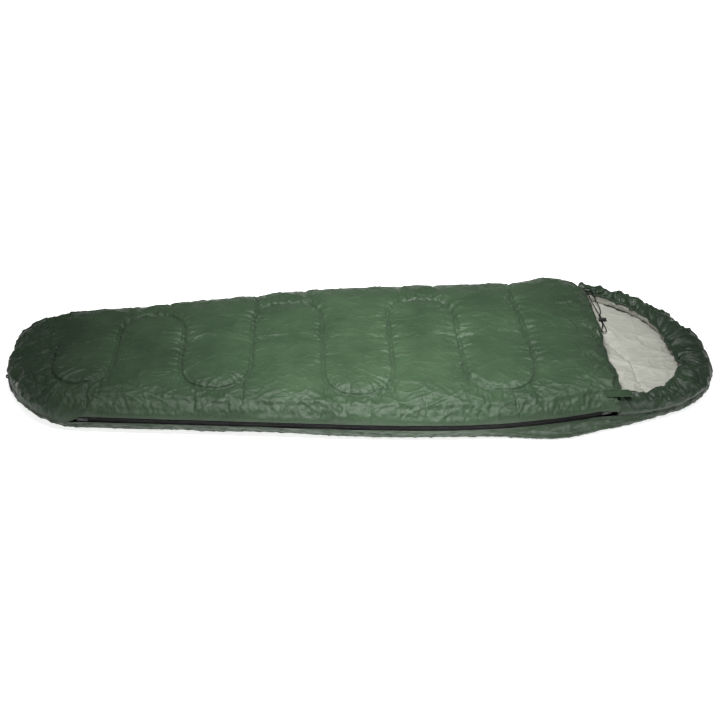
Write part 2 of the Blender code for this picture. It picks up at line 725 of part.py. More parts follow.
def carve(mesh, cutters):
    base = bpy.data.objects.new("carve_base", mesh)
    bpy.context.scene.collection.objects.link(base)
    for cutter in cutters:
        base = combine(base, cutter, "DIFFERENCE")
    made = base.data
    bpy.data.objects.remove(base)
    return made


def block(low, high, frame):
    """A box between two corners in a local frame (place, along, out, up)."""
    where, along, out, up = frame
    shape = bmesh.new()
    verts = [shape.verts.new(where + along * a + out * b + up * c)
             for a in (low[0], high[0]) for b in (low[1], high[1]) for c in (low[2], high[2])]
    for ids in ((0, 1, 3, 2), (4, 6, 7, 5), (0, 4, 5, 1), (2, 3, 7, 6), (0, 2, 6, 4), (1, 5, 7, 3)):
        shape.faces.new([verts[i] for i in ids])
    return finish_mesh(shape)


# frames in which small pieces are made: place, along, out, up
SLIDER_FRAME = (Vector(), Vector((0, 1, 0)), Vector((1, 0, 0)), Vector((0, 0, 1)))
LOCK_FRAME = (Vector(), Vector((1, 0, 0)), Vector((0, 1, 0)), Vector((0, 0, 1)))


def slider_channel():
    """Half depth of a slider's channel, and the outside of its plates."""
    half = COIL_DEPTH / 2 + SLIDER_PLAY
    return half, half + SLIDER_PLATE


def slider(name, distance, frame_parent, pull_side):
    """Two plates over the coils, a web between the rows, tape lips and the pull's arch."""
    where, along, out = ZIP.frame(distance)
    to_zip = Matrix((out, along, (0, 0, 1))).transposed().to_4x4()
    to_zip.translation = where
    centre, along, out, up = SLIDER_FRAME
    half, outside = slider_channel()
    long, high = SLIDER_LENGTH / 2, SLIDER_HEIGHT / 2
    lip = high - SLIDER_LIP
    lip_gap = TAPE_T / 2 + SLIDER_PLAY
    web = SLIDER_WEB / 2
    ends = [(along * a, out, up) for a in (-long, long)]
    side = [(half, web), (half, lip), (lip_gap, lip), (lip_gap, high), (outside, high), (outside, lip),
            (outside, web)]
    right = side + [(a, -b) for a, b in side[::-1]]
    section = right + [(-a, -b) for a, b in right]
    wing = [(1, 2, 3), (1, 3, 4), (1, 4, 5), (0, 1, 5, 6), (13, 0, 6, 7), (12, 13, 7, 8),
            (12, 8, 9), (12, 9, 10), (12, 10, 11)]
    cap = wing + [tuple((i + 14) % 28 for i in ids) for ids in wing] + [(27, 0, 13, 14)]
    arch_top = outside + ARCH_RISE
    foot, post = ARCH_LENGTH / 2, ARCH_LENGTH / 2 - ARCH_BAR
    bite = SLIDER_PLATE * 0.3
    staple = [(-foot, outside - bite), (-post, outside - bite), (-post, arch_top - ARCH_BAR),
              (post, arch_top - ARCH_BAR), (post, outside - bite), (foot, outside - bite),
              (foot, arch_top), (-foot, arch_top)]
    sides = [(up * c, along, out) for c in (-ARCH_WIDTH / 2, ARCH_WIDTH / 2)]
    body = join([sweep(ends, section, cap=cap), sweep(sides, staple)])
    body.transform(to_zip)
    slide = pivot("pivot_" + name, where, frame_parent)
    link(name, body, "metal", slide, smooth=False)

    axis_out = outside + (ARCH_RISE - ARCH_BAR) / 2
    to_pull = to_zip @ Matrix.Translation(out * axis_out)
    pull_frame = (centre, along * pull_side, out, up)
    t, h = PULL_T / 2, PULL_HEIGHT / 2
    bar = PULL_T / 2
    window_high = ARCH_WIDTH / 2 + 0.0006
    window_long = ARCH_LENGTH / 2 + 0.0012
    plate = block((-bar, -t, -h), (PULL_LENGTH, t, h), pull_frame)
    window = block((bar, -2 * t, -window_high), (window_long + bar, 2 * t, window_high), pull_frame)
    grip = block((PULL_LENGTH - 0.0060, -2 * t, -0.0018), (PULL_LENGTH - 0.0022, 2 * t, 0.0018), pull_frame)
    hinge = pivot("pivot_pull_" + name, to_pull.translation, slide)
    pull = carve(plate, [window, grip])
    pull.transform(to_pull)
    link("pull_" + name, pull, "metal", hinge, smooth=False)


# ---------------------------------------------------------------- drawcord and lock
def drawcord():
    curve = bpy.data.curves.new("drawcord_loop", "CURVE")
    curve.dimensions = "3D"
    spline = curve.splines.new("POLY")
    points = smooth_through(DRAWCORD_POINTS, CORD_STEP)
    spline.points.add(len(points) - 1)
    for slot, p in zip(spline.points, points):
        slot.co = (*p, 1)
    curve.bevel_depth = CORD_D / 2
    curve.bevel_resolution = 2
    curve.use_fill_caps = True
    item = bpy.data.objects.new("drawcord_loop", curve)
    bpy.context.scene.collection.objects.link(item)
    curve.materials.append(material("drawcord_loop", "cord"))


def cylinder(radius, start, end, where, sides=20):
    """A closed cylinder along X."""
    frames = [(Vector((where.x + a, where.y, where.z)), Vector((0, 1, 0)), Vector((0, 0, 1))) for a in (start, end)]
    return sweep(frames, round_section(radius, sides))


def cord_lock():
    strand_z = max(p[2] for p in DRAWCORD_POINTS if abs(p[1] - LOCK_Y) < 1e-9)
    where = Vector()
    to_lock = Matrix.Translation((STRAND_X, LOCK_Y, strand_z))
    slot_long = (STRAND_SPACING + CORD_D) / 2 + CORD_PLAY
    slot_high = CORD_D / 2 + CORD_PLAY
    through = LOCK_D
    body = cylinder(LOCK_D / 2, -LOCK_LENGTH / 2, LOCK_LENGTH / 2, where)
    bore = cylinder(LOCK_BORE_D / 2, -LOCK_LENGTH / 2 + LOCK_FLOOR, LOCK_LENGTH, where)
    slot = block((-slot_long, -through, -slot_high), (slot_long, through, slot_high), LOCK_FRAME)
    barrel = carve(body, [bore, slot])
    barrel.transform(to_lock)
    slide = pivot("pivot_cord_lock", to_lock.translation)
    link("cord_lock_barrel", barrel, "plastic", slide, smooth=False)

    plunger_r = LOCK_BORE_D / 2 - PLUNGER_PLAY
    inner_end = -slot_long - PLUNGER_WALL
    head = LOCK_LENGTH / 2 + LOCK_TRAVEL + PLUNGER_PLAY
    shaft = cylinder(plunger_r, inner_end, head + 0.0002, where)
    button = cylinder(BUTTON_D / 2, head, head + BUTTON_LENGTH, where)
    plunger = join([shaft, button])
    window = block((-slot_long, -through, -slot_high), (slot_long + LOCK_TRAVEL, through, slot_high), LOCK_FRAME)
    press = pivot("pivot_cord_lock_button", to_lock @ Vector((head, 0, 0)), slide)
    plunger = carve(plunger, [window])
    plunger.transform(to_lock)
    link("cord_lock_button", plunger, "plastic", press, smooth=False)

    low = -LOCK_LENGTH / 2 + LOCK_FLOOR + GAP + SPRING_WIRE / 2
    high = inner_end - GAP - SPRING_WIRE / 2
    radius = LOCK_BORE_D / 2 - GAP - SPRING_WIRE
    count = SPRING_TURNS * 10
    coil = []
    for k in range(count + 1):
        turn = math.tau * k / 10
        centre = where + Vector((low + (high - low) * k / count, radius * math.cos(turn), radius * math.sin(turn)))
        coil.append((centre, Vector((0, math.cos(turn), math.sin(turn))), Vector((1, 0, 0))))
    spring = sweep(coil, round_section(SPRING_WIRE / 2, 5))
    spring.transform(to_lock)
    link("cord_lock_spring", spring, "metal", slide)


# ---------------------------------------------------------------- small sewn parts
def tab_height():
    """Underside of the neck tab: just over the flap's shell under the tab's root."""
    heights = []
    for x in (TAB_ROOT_X - TAB_T, TAB_ROOT_X + 0.02, COLLAR_X):
        middle, half = plan(x)
        for y in (TAB_Y - TAB_WIDTH / 2, TAB_Y, TAB_Y + TAB_WIDTH / 2):
            heights.append(top_limits(x, (y - middle) / half)[0] + SHELL_T)
    return max(heights) + GAP


def neck_tab(flap):
    low = tab_height()
    up = Vector((0, 0, 1))
    frame = (Vector((TAB_ROOT_X, TAB_Y, low)), Vector((1, 0, 0)), Vector((0, 1, 0)), up)
    hinge = pivot("pivot_neck_tab", Vector((TAB_ROOT_X, TAB_Y, low + TAB_T)), flap)
    half = TAB_WIDTH / 2
    tab = block((0, -half, 0), (TAB_LENGTH, half, TAB_T), frame)
    link("neck_tab", tab, "shell", hinge, smooth=False)
    end, begin = TAB_LENGTH - 0.002, TAB_LENGTH - 0.002 - PATCH_LENGTH
    wide = PATCH_WIDTH / 2
    hook = block((begin, -wide, -GAP - PATCH_T), (end, wide, -GAP), frame)
    link("tab_hook_patch", hook, "hook_loop", hinge, smooth=False)
    loop_high = -2 * GAP - PATCH_T
    rim_top = RIM_TOP_Z + GAP - low
    loop = block((begin, -wide, rim_top), (end, wide, loop_high), frame)
    link("tab_loop_patch", loop, "hook_loop", smooth=False)


def hang_loop():
    """Ribbon loop sewn into the foot seam near the zip side's corner."""
    x = foot_x(FOOT_ROWS[1])
    here = Vector((*place(x, -1), BOTTOM_EDGE_Z))
    ahead = Vector((*place(foot_x(FOOT_ROWS[0]), -1), BOTTOM_EDGE_Z))
    along = (here - ahead).normalized()
    out = Vector((along.y, -along.x, 0))
    root = (here + ahead) / 2
    legs = [(0.0006, -HANG_LOOP_RISE)]
    legs += [(HANG_LOOP_REACH - HANG_LOOP_RISE + HANG_LOOP_RISE * math.cos(a), HANG_LOOP_RISE * math.sin(a))
             for a in (math.radians(d) for d in range(-90, 91, 30))]
    legs += [(0.0006, HANG_LOOP_RISE)]
    frames = []
    for i, (a, b) in enumerate(legs):
        c, d = legs[max(i - 1, 0)], legs[min(i + 1, len(legs) - 1)]
        way = Vector((d[0] - c[0], d[1] - c[1])).normalized()
        frames.append((root + out * a + Vector((0, 0, b)), along, out * -way.y + Vector((0, 0, way.x))))
    link("hang_loop", sweep(frames, box_section(-HANG_LOOP_WIDTH / 2, HANG_LOOP_WIDTH / 2,
                                                 -HANG_LOOP_T / 2, HANG_LOOP_T / 2)), "cord")


# ---------------------------------------------------------------- assembly
def main():
    clear_scene()
    start, _, _ = fold_plane()
    flap = pivot("pivot_flap", Vector((start.x, start.y, CROWN_Z + HINGE_ABOVE_CROWN)))
    bottom_quilt()
    top_quilt(flap)
    hood_rim()
    collar(flap)
    zip_halves(flap)
    slider("slider_top", top_slider_place(), None, -1)
    slider("slider_bottom", BOTTOM_SLIDER_REST, None, -1)
    drawcord()
    cord_lock()
    neck_tab(flap)
    hang_loop()


main()
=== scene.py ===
"""Looks of the mummy sleeping bag: quilted shell, lining, gathered hood, zip, drawcord and lock.

Metres, in the CAD model's frame: +X from the foot to the hood, the zip on the -Y side, floor at
z = 0.
"""
import math

import bpy
import numpy as np
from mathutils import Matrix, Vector
from mathutils.kdtree import KDTree


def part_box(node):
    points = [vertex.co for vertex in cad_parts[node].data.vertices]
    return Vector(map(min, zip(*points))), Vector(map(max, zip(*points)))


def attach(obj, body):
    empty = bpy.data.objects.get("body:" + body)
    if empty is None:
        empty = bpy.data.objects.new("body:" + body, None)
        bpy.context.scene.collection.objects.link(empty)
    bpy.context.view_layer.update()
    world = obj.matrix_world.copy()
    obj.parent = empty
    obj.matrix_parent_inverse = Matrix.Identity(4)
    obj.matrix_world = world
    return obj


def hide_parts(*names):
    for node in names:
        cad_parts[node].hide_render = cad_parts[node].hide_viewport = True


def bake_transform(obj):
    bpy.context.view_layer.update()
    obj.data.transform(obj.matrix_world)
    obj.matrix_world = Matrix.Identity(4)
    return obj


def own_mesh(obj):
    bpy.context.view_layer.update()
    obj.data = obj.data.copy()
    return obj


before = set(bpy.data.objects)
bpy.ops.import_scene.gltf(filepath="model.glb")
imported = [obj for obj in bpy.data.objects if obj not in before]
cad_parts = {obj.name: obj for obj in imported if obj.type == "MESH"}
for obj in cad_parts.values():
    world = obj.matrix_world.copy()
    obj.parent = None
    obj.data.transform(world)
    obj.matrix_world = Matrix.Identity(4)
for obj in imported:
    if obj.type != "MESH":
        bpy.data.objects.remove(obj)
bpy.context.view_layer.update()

# ---------------------------------------------------------------- sizes read from the frame
FOOT_END_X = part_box("bottom_shell")[0].x
HOOD_TIP_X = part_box("bottom_shell")[1].x
COLLAR_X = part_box("top_shell_flap")[1].x
CROWN_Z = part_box("top_shell_fixed")[1].z
EDGE_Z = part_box("bottom_shell")[1].z
LINING_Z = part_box("bottom_lining")[1].z
RIM_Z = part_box("hood_rim_shell")[1].z
COIL_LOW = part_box("zip_coil_lower")
COIL_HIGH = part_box("zip_coil_upper_fixed")
TAPE_LOW_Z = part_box("zip_tape_lower")[0].z
TAPE_HIGH_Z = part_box("zip_tape_upper_fixed")[1].z
ZIP_Z = (COIL_LOW[1].z + COIL_HIGH[0].z) / 2

# plan of the bag, as in the CAD model
FOOT_ROUND_X, NECK_X = -0.870, 0.705
FOOT_POWER, HOOD_POWER, END_SHARE, TIP_SHIFT = 2.2, 1.9, 0.985, -0.075
FAR_EDGE = [(-1.105, 0.262), (-0.979, 0.275), (-0.650, 0.325), (-0.190, 0.402),
            (0.220, 0.425), (0.490, 0.428), (0.705, 0.413)]
ZIP_START, ZIP_HEADING = np.array([-0.8400, -0.2735]), math.radians(-5.2)
ZIP_RUNS = [(0.7438, 0.0), (0.300, math.radians(2.7)),      # length and turn of each run
            (1.731 * math.radians(18.0), math.radians(18.0))]
ZIP_LENGTH = sum(run[0] for run in ZIP_RUNS)
FOOT_SHIFT, FOOT_SHIFT_POWER = 0.070, 1.6
CEILING_Z, CEILING_POWER, TOP_EDGE_Z = 0.1050, 1.5, 0.0500
COLLAR_ROUND = 0.050
RIM_START_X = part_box("hood_rim_shell")[0].x
RIM_WIDTHS = [(0.00, 0.036), (0.14, 0.052), (0.27, 0.074), (0.45, 0.105), (0.56, 0.100),
              (0.67, 0.078), (0.78, 0.060), (0.90, 0.050), (1.00, 0.036)]
RIM_DROPS = [(0.00, 0), (0.04, 0), (0.12, 0.019), (0.22, 0.018), (0.36, 0.004), (0.46, 0),
             (1.00, 0)]

COVER = 0.0062          # how far the top quilt laps over the zip's upper tape
EDGE_LAP = 0.0030       # how far its edge stands out in front of that tape
CROWN_DROP = 0.009      # room that the crown leaves for the puffed cloth
HIGHEST_CREASE = 0.0125     # above the CAD crown
UNDERSIDE_Z = 0.0006
RIM_BACK = 0.018        # how far the visible rim starts before the CAD one
LINING_INSET = 0.012
SEAM_STEP = 0.004       # spacing of the points on the seams
CORD_D = 0.0030
QUILT_THREAD_R, LINING_THREAD_R = 0.0015, 0.0011
THREAD_SCALE, THREAD_DEPTH = 900.0, 0.00012     # weave of the satin and the lining
SATIN_CRINKLE = 0.0045
SIM_FRAMES, SIM_PITCH = 18, 0.0072
SIM_PRESSURE, SIM_SPARE, SIM_CAP = 3.0, 0.024, 0.0095


# ---------------------------------------------------------------- camera, lights, floor
def make_camera():
    data = bpy.data.cameras.new("camera")
    data.lens, data.sensor_width = 66.5, 36.0
    camera = bpy.data.objects.new("camera", data)
    bpy.context.scene.collection.objects.link(camera)
    elevation, azimuth, distance = math.radians(33.0), math.radians(-2.3), 4.2
    target = Vector((0.0, 0.0, 0.06))
    level = math.cos(elevation)
    back = Vector((math.sin(azimuth) * level, -math.cos(azimuth) * level, math.sin(elevation)))
    camera.location = target + back * distance
    camera.rotation_euler = back.to_track_quat("Z", "Y").to_euler()
    bpy.context.scene.camera = camera
    bpy.context.scene.view_settings.view_transform = "Standard"


def area_light(name, place, target, size, power, spread=180):
    data = bpy.data.lights.new(name, "AREA")
    data.shape, data.size, data.size_y, data.energy = "RECTANGLE", size[0], size[1], power
    data.spread = math.radians(spread)
    light = bpy.data.objects.new(name, data)
    bpy.context.scene.collection.objects.link(light)
    light.location = place
    light.rotation_euler = (Vector(place) - Vector(target)).to_track_quat("Z", "Y").to_euler()


def sun_light(name, toward, strength, spread):
    data = bpy.data.lights.new(name, "SUN")
    data.energy, data.angle = strength, math.radians(spread)
    light = bpy.data.objects.new(name, data)
    bpy.context.scene.collection.objects.link(light)
    light.rotation_euler = Vector(toward).to_track_quat("Z", "Y").to_euler()


def make_studio():
    world = bpy.data.worlds.new("studio")
    bpy.context.scene.world = world
    world.use_nodes = True
    world.node_tree.nodes["Background"].inputs[0].default_value = (1, 1, 1, 1)
    world.node_tree.nodes["Background"].inputs[1].default_value = 0.15
    sun_light("soft_sun", (0.10, -0.15, 1.0), 0.42, 35)
    area_light("key", (0.02, -0.75, 2.05), (0.10, 0.0, 0.1), (0.55, 0.4), 18.5, 66)
    half = 60.0
    corners = [(-half, -half, 0), (half, -half, 0), (half, half, 0), (-half, half, 0)]
    floor = mesh_object("floor", corners, [(0, 1, 2, 3)])
    paper = bpy.data.materials.new("paper")
    paper.use_nodes = True
    shader = paper.node_tree.nodes["Principled BSDF"]
    shader.inputs["Base Color"].default_value = (0.97, 0.97, 0.97, 1)
    shader.inputs["Roughness"].default_value = 0.9
    shader.inputs["Emission Color"].default_value = (1, 1, 1, 1)
    shader.inputs["Emission Strength"].default_value = 0.80
    floor.data.materials.append(paper)


# ---------------------------------------------------------------- noise
def hash_angle(ix, iy, seed):
    h = (ix * 374761393 + iy * 668265263 + seed * 974634777) & 0xFFFFFFFF
    h = ((h ^ (h >> 13)) * 1274126177) & 0xFFFFFFFF
    return ((h ^ (h >> 16)) & 0xFFFF) / 65536.0 * math.tau


def noise(x, y, seed=0):
    """Smooth gradient noise of two arrays, about -0.7 to 0.7, one wave a unit."""
    x, y = np.broadcast_arrays(np.asarray(x, float), np.asarray(y, float))
    ix, iy = np.floor(x).astype(np.int64), np.floor(y).astype(np.int64)
    fx, fy = x - ix, y - iy
    u = fx * fx * fx * (fx * (fx * 6 - 15) + 10)
    v = fy * fy * fy * (fy * (fy * 6 - 15) + 10)

    def corner(dx, dy):
        angle = hash_angle(ix + dx, iy + dy, seed)
        return np.cos(angle) * (fx - dx) + np.sin(angle) * (fy - dy)

    low = corner(0, 0) * (1 - u) + corner(1, 0) * u
    high = corner(0, 1) * (1 - u) + corner(1, 1) * u
    return low * (1 - v) + high * v


def crease(x, y, seed, width):
    """Sharp little ridges along the lines where noise changes sign, 0 to 1."""
    warp = 0.35 * noise(x * 1.7, y * 1.7, seed + 50)
    return np.exp(-np.abs(noise(x + warp, y - warp, seed)) / width)


def smooth(low, high, value):
    t = np.clip((value - low) / (high - low), 0.0, 1.0)
    return t * t * (3 - 2 * t)


# ---------------------------------------------------------------- plan of the bag
def zip_at(distance):
    """Point and heading on the zip line, straight on past both ends."""
    place, heading, left = ZIP_START.copy(), ZIP_HEADING, distance
    for index, (length, turn) in enumerate(ZIP_RUNS):
        step = left if index == 0 and left < 0 else min(left, length)
        angle = turn * step / length
        chord = step if angle == 0 else 2 * math.sin(angle / 2) * length / turn
        aim = heading + angle / 2
        place = place + chord * np.array([math.cos(aim), math.sin(aim)])
        heading += angle
        left -= step
        if left <= 0:
            return place, heading
    return place + left * np.array([math.cos(heading), math.sin(heading)]), heading


def far_table():
    """Smooth far edge through FAR_EDGE, as two arrays of x and y."""
    points = np.array(FAR_EDGE)
    slopes = np.empty(len(points))
    for i in range(len(points)):
        lo, hi = points[max(i - 1, 0)], points[min(i + 1, len(points) - 1)]
        slopes[i] = (hi[1] - lo[1]) / (hi[0] - lo[0])
    xs, ys = [], []
    for i in range(len(points) - 1):
        t = np.linspace(0, 1, 40, endpoint=False)
        width = points[i + 1][0] - points[i][0]
        xs.append(points[i][0] + t * width)
        ys.append((2 * t ** 3 - 3 * t ** 2 + 1) * points[i][1]
                  + (t ** 3 - 2 * t ** 2 + t) * width * slopes[i]
                  + (3 * t ** 2 - 2 * t ** 3) * points[i + 1][1]
                  + (t ** 3 - t ** 2) * width * slopes[i + 1])
    return (np.append(np.concatenate(xs), points[-1][0]),
            np.append(np.concatenate(ys), points[-1][1]))


FAR_X, FAR_Y = far_table()
NEAR_LINE = np.array([zip_at(d)[0] for d in np.linspace(-0.35, ZIP_LENGTH + 0.1, 500)])


def foot_share(x):
    return np.clip((FOOT_ROUND_X - x) / (FOOT_ROUND_X - FOOT_END_X), 0, 1)


def hood_share(x):
    return np.clip((x - NECK_X) / (HOOD_TIP_X - NECK_X), 0, 1)


def plan(x):
    """Middle y and half width at x."""
    read = np.minimum(x, NECK_X)
    near = np.interp(read, NEAR_LINE[:, 0], NEAR_LINE[:, 1])
    far = np.interp(read, FAR_X, FAR_Y)
    foot = (1 - (foot_share(x) * END_SHARE) ** FOOT_POWER) ** (1 / FOOT_POWER)
    hood = (1 - (hood_share(x) * END_SHARE) ** HOOD_POWER) ** (1 / HOOD_POWER)
    middle = ((near + far) / 2 + TIP_SHIFT * hood_share(x) ** 2
              + FOOT_SHIFT * foot_share(x) ** FOOT_SHIFT_POWER)
    return middle, (far - near) / 2 * foot * hood


def outline(spacing):
    """Closed outline, anticlockwise from the near foot corner, evenly spaced and softened."""
    end = np.linspace(0, math.pi, 500)
    x = (FOOT_END_X + HOOD_TIP_X) / 2 - np.cos(end) * (HOOD_TIP_X - FOOT_END_X) / 2
    middle, half = plan(x)
    near, far = np.stack([x, middle - half], 1), np.stack([x, middle + half], 1)
    loop = np.concatenate([near, far[::-1]])
    loop = resample(np.vstack([loop, loop[:1]]), spacing)[:-1]
    for _ in range(round((0.02 / spacing) ** 2)):
        loop = loop * 0.5 + (np.roll(loop, 1, 0) + np.roll(loop, -1, 0)) * 0.25
    return loop


def resample(points, spacing):
    points = np.asarray(points, float)
    steps = np.linalg.norm(np.diff(points, axis=0), axis=1)
    run = np.concatenate([[0], np.cumsum(steps)])
    count = max(2, round(run[-1] / spacing) + 1)
    at = np.linspace(0, run[-1], count)
    return np.stack([np.interp(at, run, points[:, k]) for k in range(points.shape[1])], 1)


def through(points, spacing):
    """Catmull-Rom curve through points, evenly spaced."""
    p = np.asarray(points, float)
    p = np.vstack([2 * p[0] - p[1], p, 2 * p[-1] - p[-2]])
    t = np.linspace(0, 1, 12, endpoint=False)[:, None]
    runs = [0.5 * (2 * b + (c - a) * t + (2 * a - 5 * b + 4 * c - d) * t ** 2
                   + (3 * b - a - 3 * c + d) * t ** 3)
            for a, b, c, d in zip(p, p[1:], p[2:], p[3:])]
    return resample(np.vstack(runs + [p[-2:-1]]), spacing)


# ---------------------------------------------------------------- quilting seam
SEAM_LEGS = [-0.948, -0.757, -0.553, -0.337, -0.118, 0.095, 0.312, 0.530]   # x of each leg
SEAM_ENDS = [-0.190, 0.195, -0.228, 0.260, -0.277, 0.262, -0.272]           # y of each turn
SEAM_TURN = 0.125


def meander(legs, ends, first_y, last):
    """One stitched line that snakes along the bag: legs across it joined by round turns."""
    points = [(legs[0], first_y)]
    for i, y in enumerate(ends):
        a, b, way = legs[i], legs[i + 1], math.copysign(1, ends[i])
        centre, reach = (a + b) / 2, (b - a) / 2
        root = y - way * SEAM_TURN
        for k in range(13):
            t = math.pi * k / 12
            side, rise = -math.cos(t), math.sin(t)
            points.append((centre + reach * math.copysign(abs(side) ** 0.9, side),
                           root + way * SEAM_TURN * rise ** 0.8))
    return resample(np.array(points + last), SEAM_STEP)


TOP_SEAMS = [meander(SEAM_LEGS, SEAM_ENDS, 0.02, [(0.528, 0.06), (0.519, 0.16), (0.505, 0.33)]),
             resample(np.array([(-0.330, 0.20), (-0.328, 0.27), (-0.333, 0.345)]), SEAM_STEP)]
LINING_SEAMS = [through([(0.30, 0.25), (0.52, 0.24), (0.70, 0.19), (0.786, 0.132),
                         (0.814, 0.094), (0.837, 0.045), (0.849, 0.009), (0.857, -0.044),
                         (0.859, -0.124), (0.866, -0.168), (0.880, -0.210)], SEAM_STEP)]


def search_tree(line):
    tree = KDTree(len(line))
    for i, p in enumerate(line):
        tree.insert((p[0], p[1], 0), i)
    tree.balance()
    return tree


def seam_field(x, y, seams):
    """Distance to the nearest stitched line and how far along it, for arrays of points."""
    shape = x.shape
    best = np.full(x.size, 9.0)
    along = np.zeros(x.size)
    px, py = x.ravel(), y.ravel()
    for number, line in enumerate(seams):
        tree = search_tree(line)
        for i in range(x.size):
            _, index, gap = tree.find((px[i], py[i], 0))
            if gap < best[i]:
                best[i], along[i] = gap, index * SEAM_STEP + number * 50
    return best.reshape(shape), along.reshape(shape)


# ---------------------------------------------------------------- meshes
def grid_faces(rows, columns, closed_u=False):
    index = np.arange(rows * columns).reshape(rows, columns)
    if closed_u:
        index = np.vstack([index, index[:1]])
    quads = [index[:-1, :-1], index[1:, :-1], index[1:, 1:], index[:-1, 1:]]
    return np.stack(quads, -1).reshape(-1, 4)


def mesh_object(name, verts, faces):
    mesh = bpy.data.meshes.new(name)
    mesh.from_pydata(verts, [], faces)
    item = bpy.data.objects.new(name, mesh)
    bpy.context.scene.collection.objects.link(item)
    return item


def grid_object(name, points, surface, body=None, closed_u=False, flip=False):
    """A sheet from an array of points [u][v]."""
    quads = grid_faces(*points.shape[:2], closed_u)
    if flip:
        quads = quads[:, ::-1]
    item = mesh_object(name, points.reshape(-1, 3).tolist(), quads.tolist())
    item.data.shade_smooth()
    item.data.materials.append(surface)
    if body:
        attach(item, body)
    return item


def grid_normals(points, closed_u=False):
    if closed_u:
        du = np.roll(points, -1, 0) - np.roll(points, 1, 0)
    else:
        du = np.gradient(points, axis=0)
    dv = np.gradient(points, axis=1)
    n = np.cross(du, dv)
    return n / np.maximum(np.linalg.norm(n, axis=2, keepdims=True), 1e-9)


def bands(*runs):
    """Values joined from (start, end, step) runs."""
    parts = [np.arange(a, b, s) for a, b, s in runs]
    return np.append(np.concatenate(parts), runs[-1][1])


# ---------------------------------------------------------------- materials
def node(tree, kind, **values):
    made = tree.nodes.new(kind)
    for key, value in values.items():
        if hasattr(made, key):
            setattr(made, key, value)
        else:
            made.inputs[key.replace("_", " ")].default_value = value
    return made


def fabric(name, dark, light, roughness, sheen, crinkle, gloss=0.4,
           weave=(THREAD_SCALE, THREAD_DEPTH)):
    """Woven cloth: colour that varies softly, fine weave and small crinkles in its bump."""
    made = bpy.data.materials.new(name)
    made.use_nodes = True
    tree = made.node_tree
    shader = tree.nodes["Principled BSDF"]
    links = tree.links
    place = node(tree, "ShaderNodeTexCoord")
    patches = node(tree, "ShaderNodeTexNoise", Scale=7.0, Detail=6.0, Roughness=0.6)
    links.new(place.outputs["Object"], patches.inputs["Vector"])
    ramp = node(tree, "ShaderNodeValToRGB")
    ramp.color_ramp.elements[0].position, ramp.color_ramp.elements[1].position = 0.32, 0.68
    ramp.color_ramp.elements[0].color = (*dark, 1)
    ramp.color_ramp.elements[1].color = (*light, 1)
    links.new(patches.outputs["Fac"], ramp.inputs["Fac"])
    links.new(ramp.outputs["Color"], shader.inputs["Base Color"])
    shader.inputs["Roughness"].default_value = roughness
    shader.inputs["Sheen Weight"].default_value = sheen
    shader.inputs["Sheen Roughness"].default_value = 0.45
    shader.inputs["Specular IOR Level"].default_value = gloss
    threads = node(tree, "ShaderNodeMath", operation="ADD")
    for number, way in enumerate("XY"):
        thread = node(tree, "ShaderNodeTexWave", wave_type="BANDS", bands_direction=way,
                      Scale=weave[0], Distortion=0.4, Detail=1.0)
        links.new(place.outputs["Object"], thread.inputs["Vector"])
        links.new(thread.outputs["Fac"], threads.inputs[number])
    fine = node(tree, "ShaderNodeBump", Strength=0.5, Distance=weave[1])
    links.new(threads.outputs[0], fine.inputs["Height"])
    rumple = node(tree, "ShaderNodeTexNoise", Scale=38.0, Detail=5.0, Roughness=0.62,
                  Distortion=1.2)
    links.new(place.outputs["Object"], rumple.inputs["Vector"])
    broad = node(tree, "ShaderNodeBump", Strength=0.7, Distance=crinkle)
    links.new(rumple.outputs["Fac"], broad.inputs["Height"])
    links.new(fine.outputs["Normal"], broad.inputs["Normal"])
    links.new(broad.outputs["Normal"], shader.inputs["Normal"])
    return made


def hard(name, colour, roughness, metallic):
    """Moulded plastic or enamelled metal with a fine grain and slight wear in its gloss."""
    made = bpy.data.materials.new(name)
    made.use_nodes = True
    tree = made.node_tree
    shader = tree.nodes["Principled BSDF"]
    links = tree.links
    place = node(tree, "ShaderNodeTexCoord")
    speckle = node(tree, "ShaderNodeTexNoise", Scale=250.0, Detail=4.0)
    links.new(place.outputs["Object"], speckle.inputs["Vector"])
    ramp = node(tree, "ShaderNodeValToRGB")
    ramp.color_ramp.elements[0].color = (*[c * 0.75 for c in colour], 1)
    ramp.color_ramp.elements[1].color = (*[min(1, c * 1.3) for c in colour], 1)
    links.new(speckle.outputs["Fac"], ramp.inputs["Fac"])
    links.new(ramp.outputs["Color"], shader.inputs["Base Color"])
    spread = node(tree, "ShaderNodeMapRange")
    spread.inputs["To Min"].default_value = roughness * 0.8
    spread.inputs["To Max"].default_value = min(1.0, roughness * 1.25)
    links.new(speckle.outputs["Fac"], spread.inputs["Value"])
    links.new(spread.outputs["Result"], shader.inputs["Roughness"])
    shader.inputs["Metallic"].default_value = metallic
    bump = node(tree, "ShaderNodeBump", Strength=0.3, Distance=0.00005)
    links.new(speckle.outputs["Fac"], bump.inputs["Height"])
    links.new(bump.outputs["Normal"], shader.inputs["Normal"])
    return made


def grey(value):
    return value, value, value


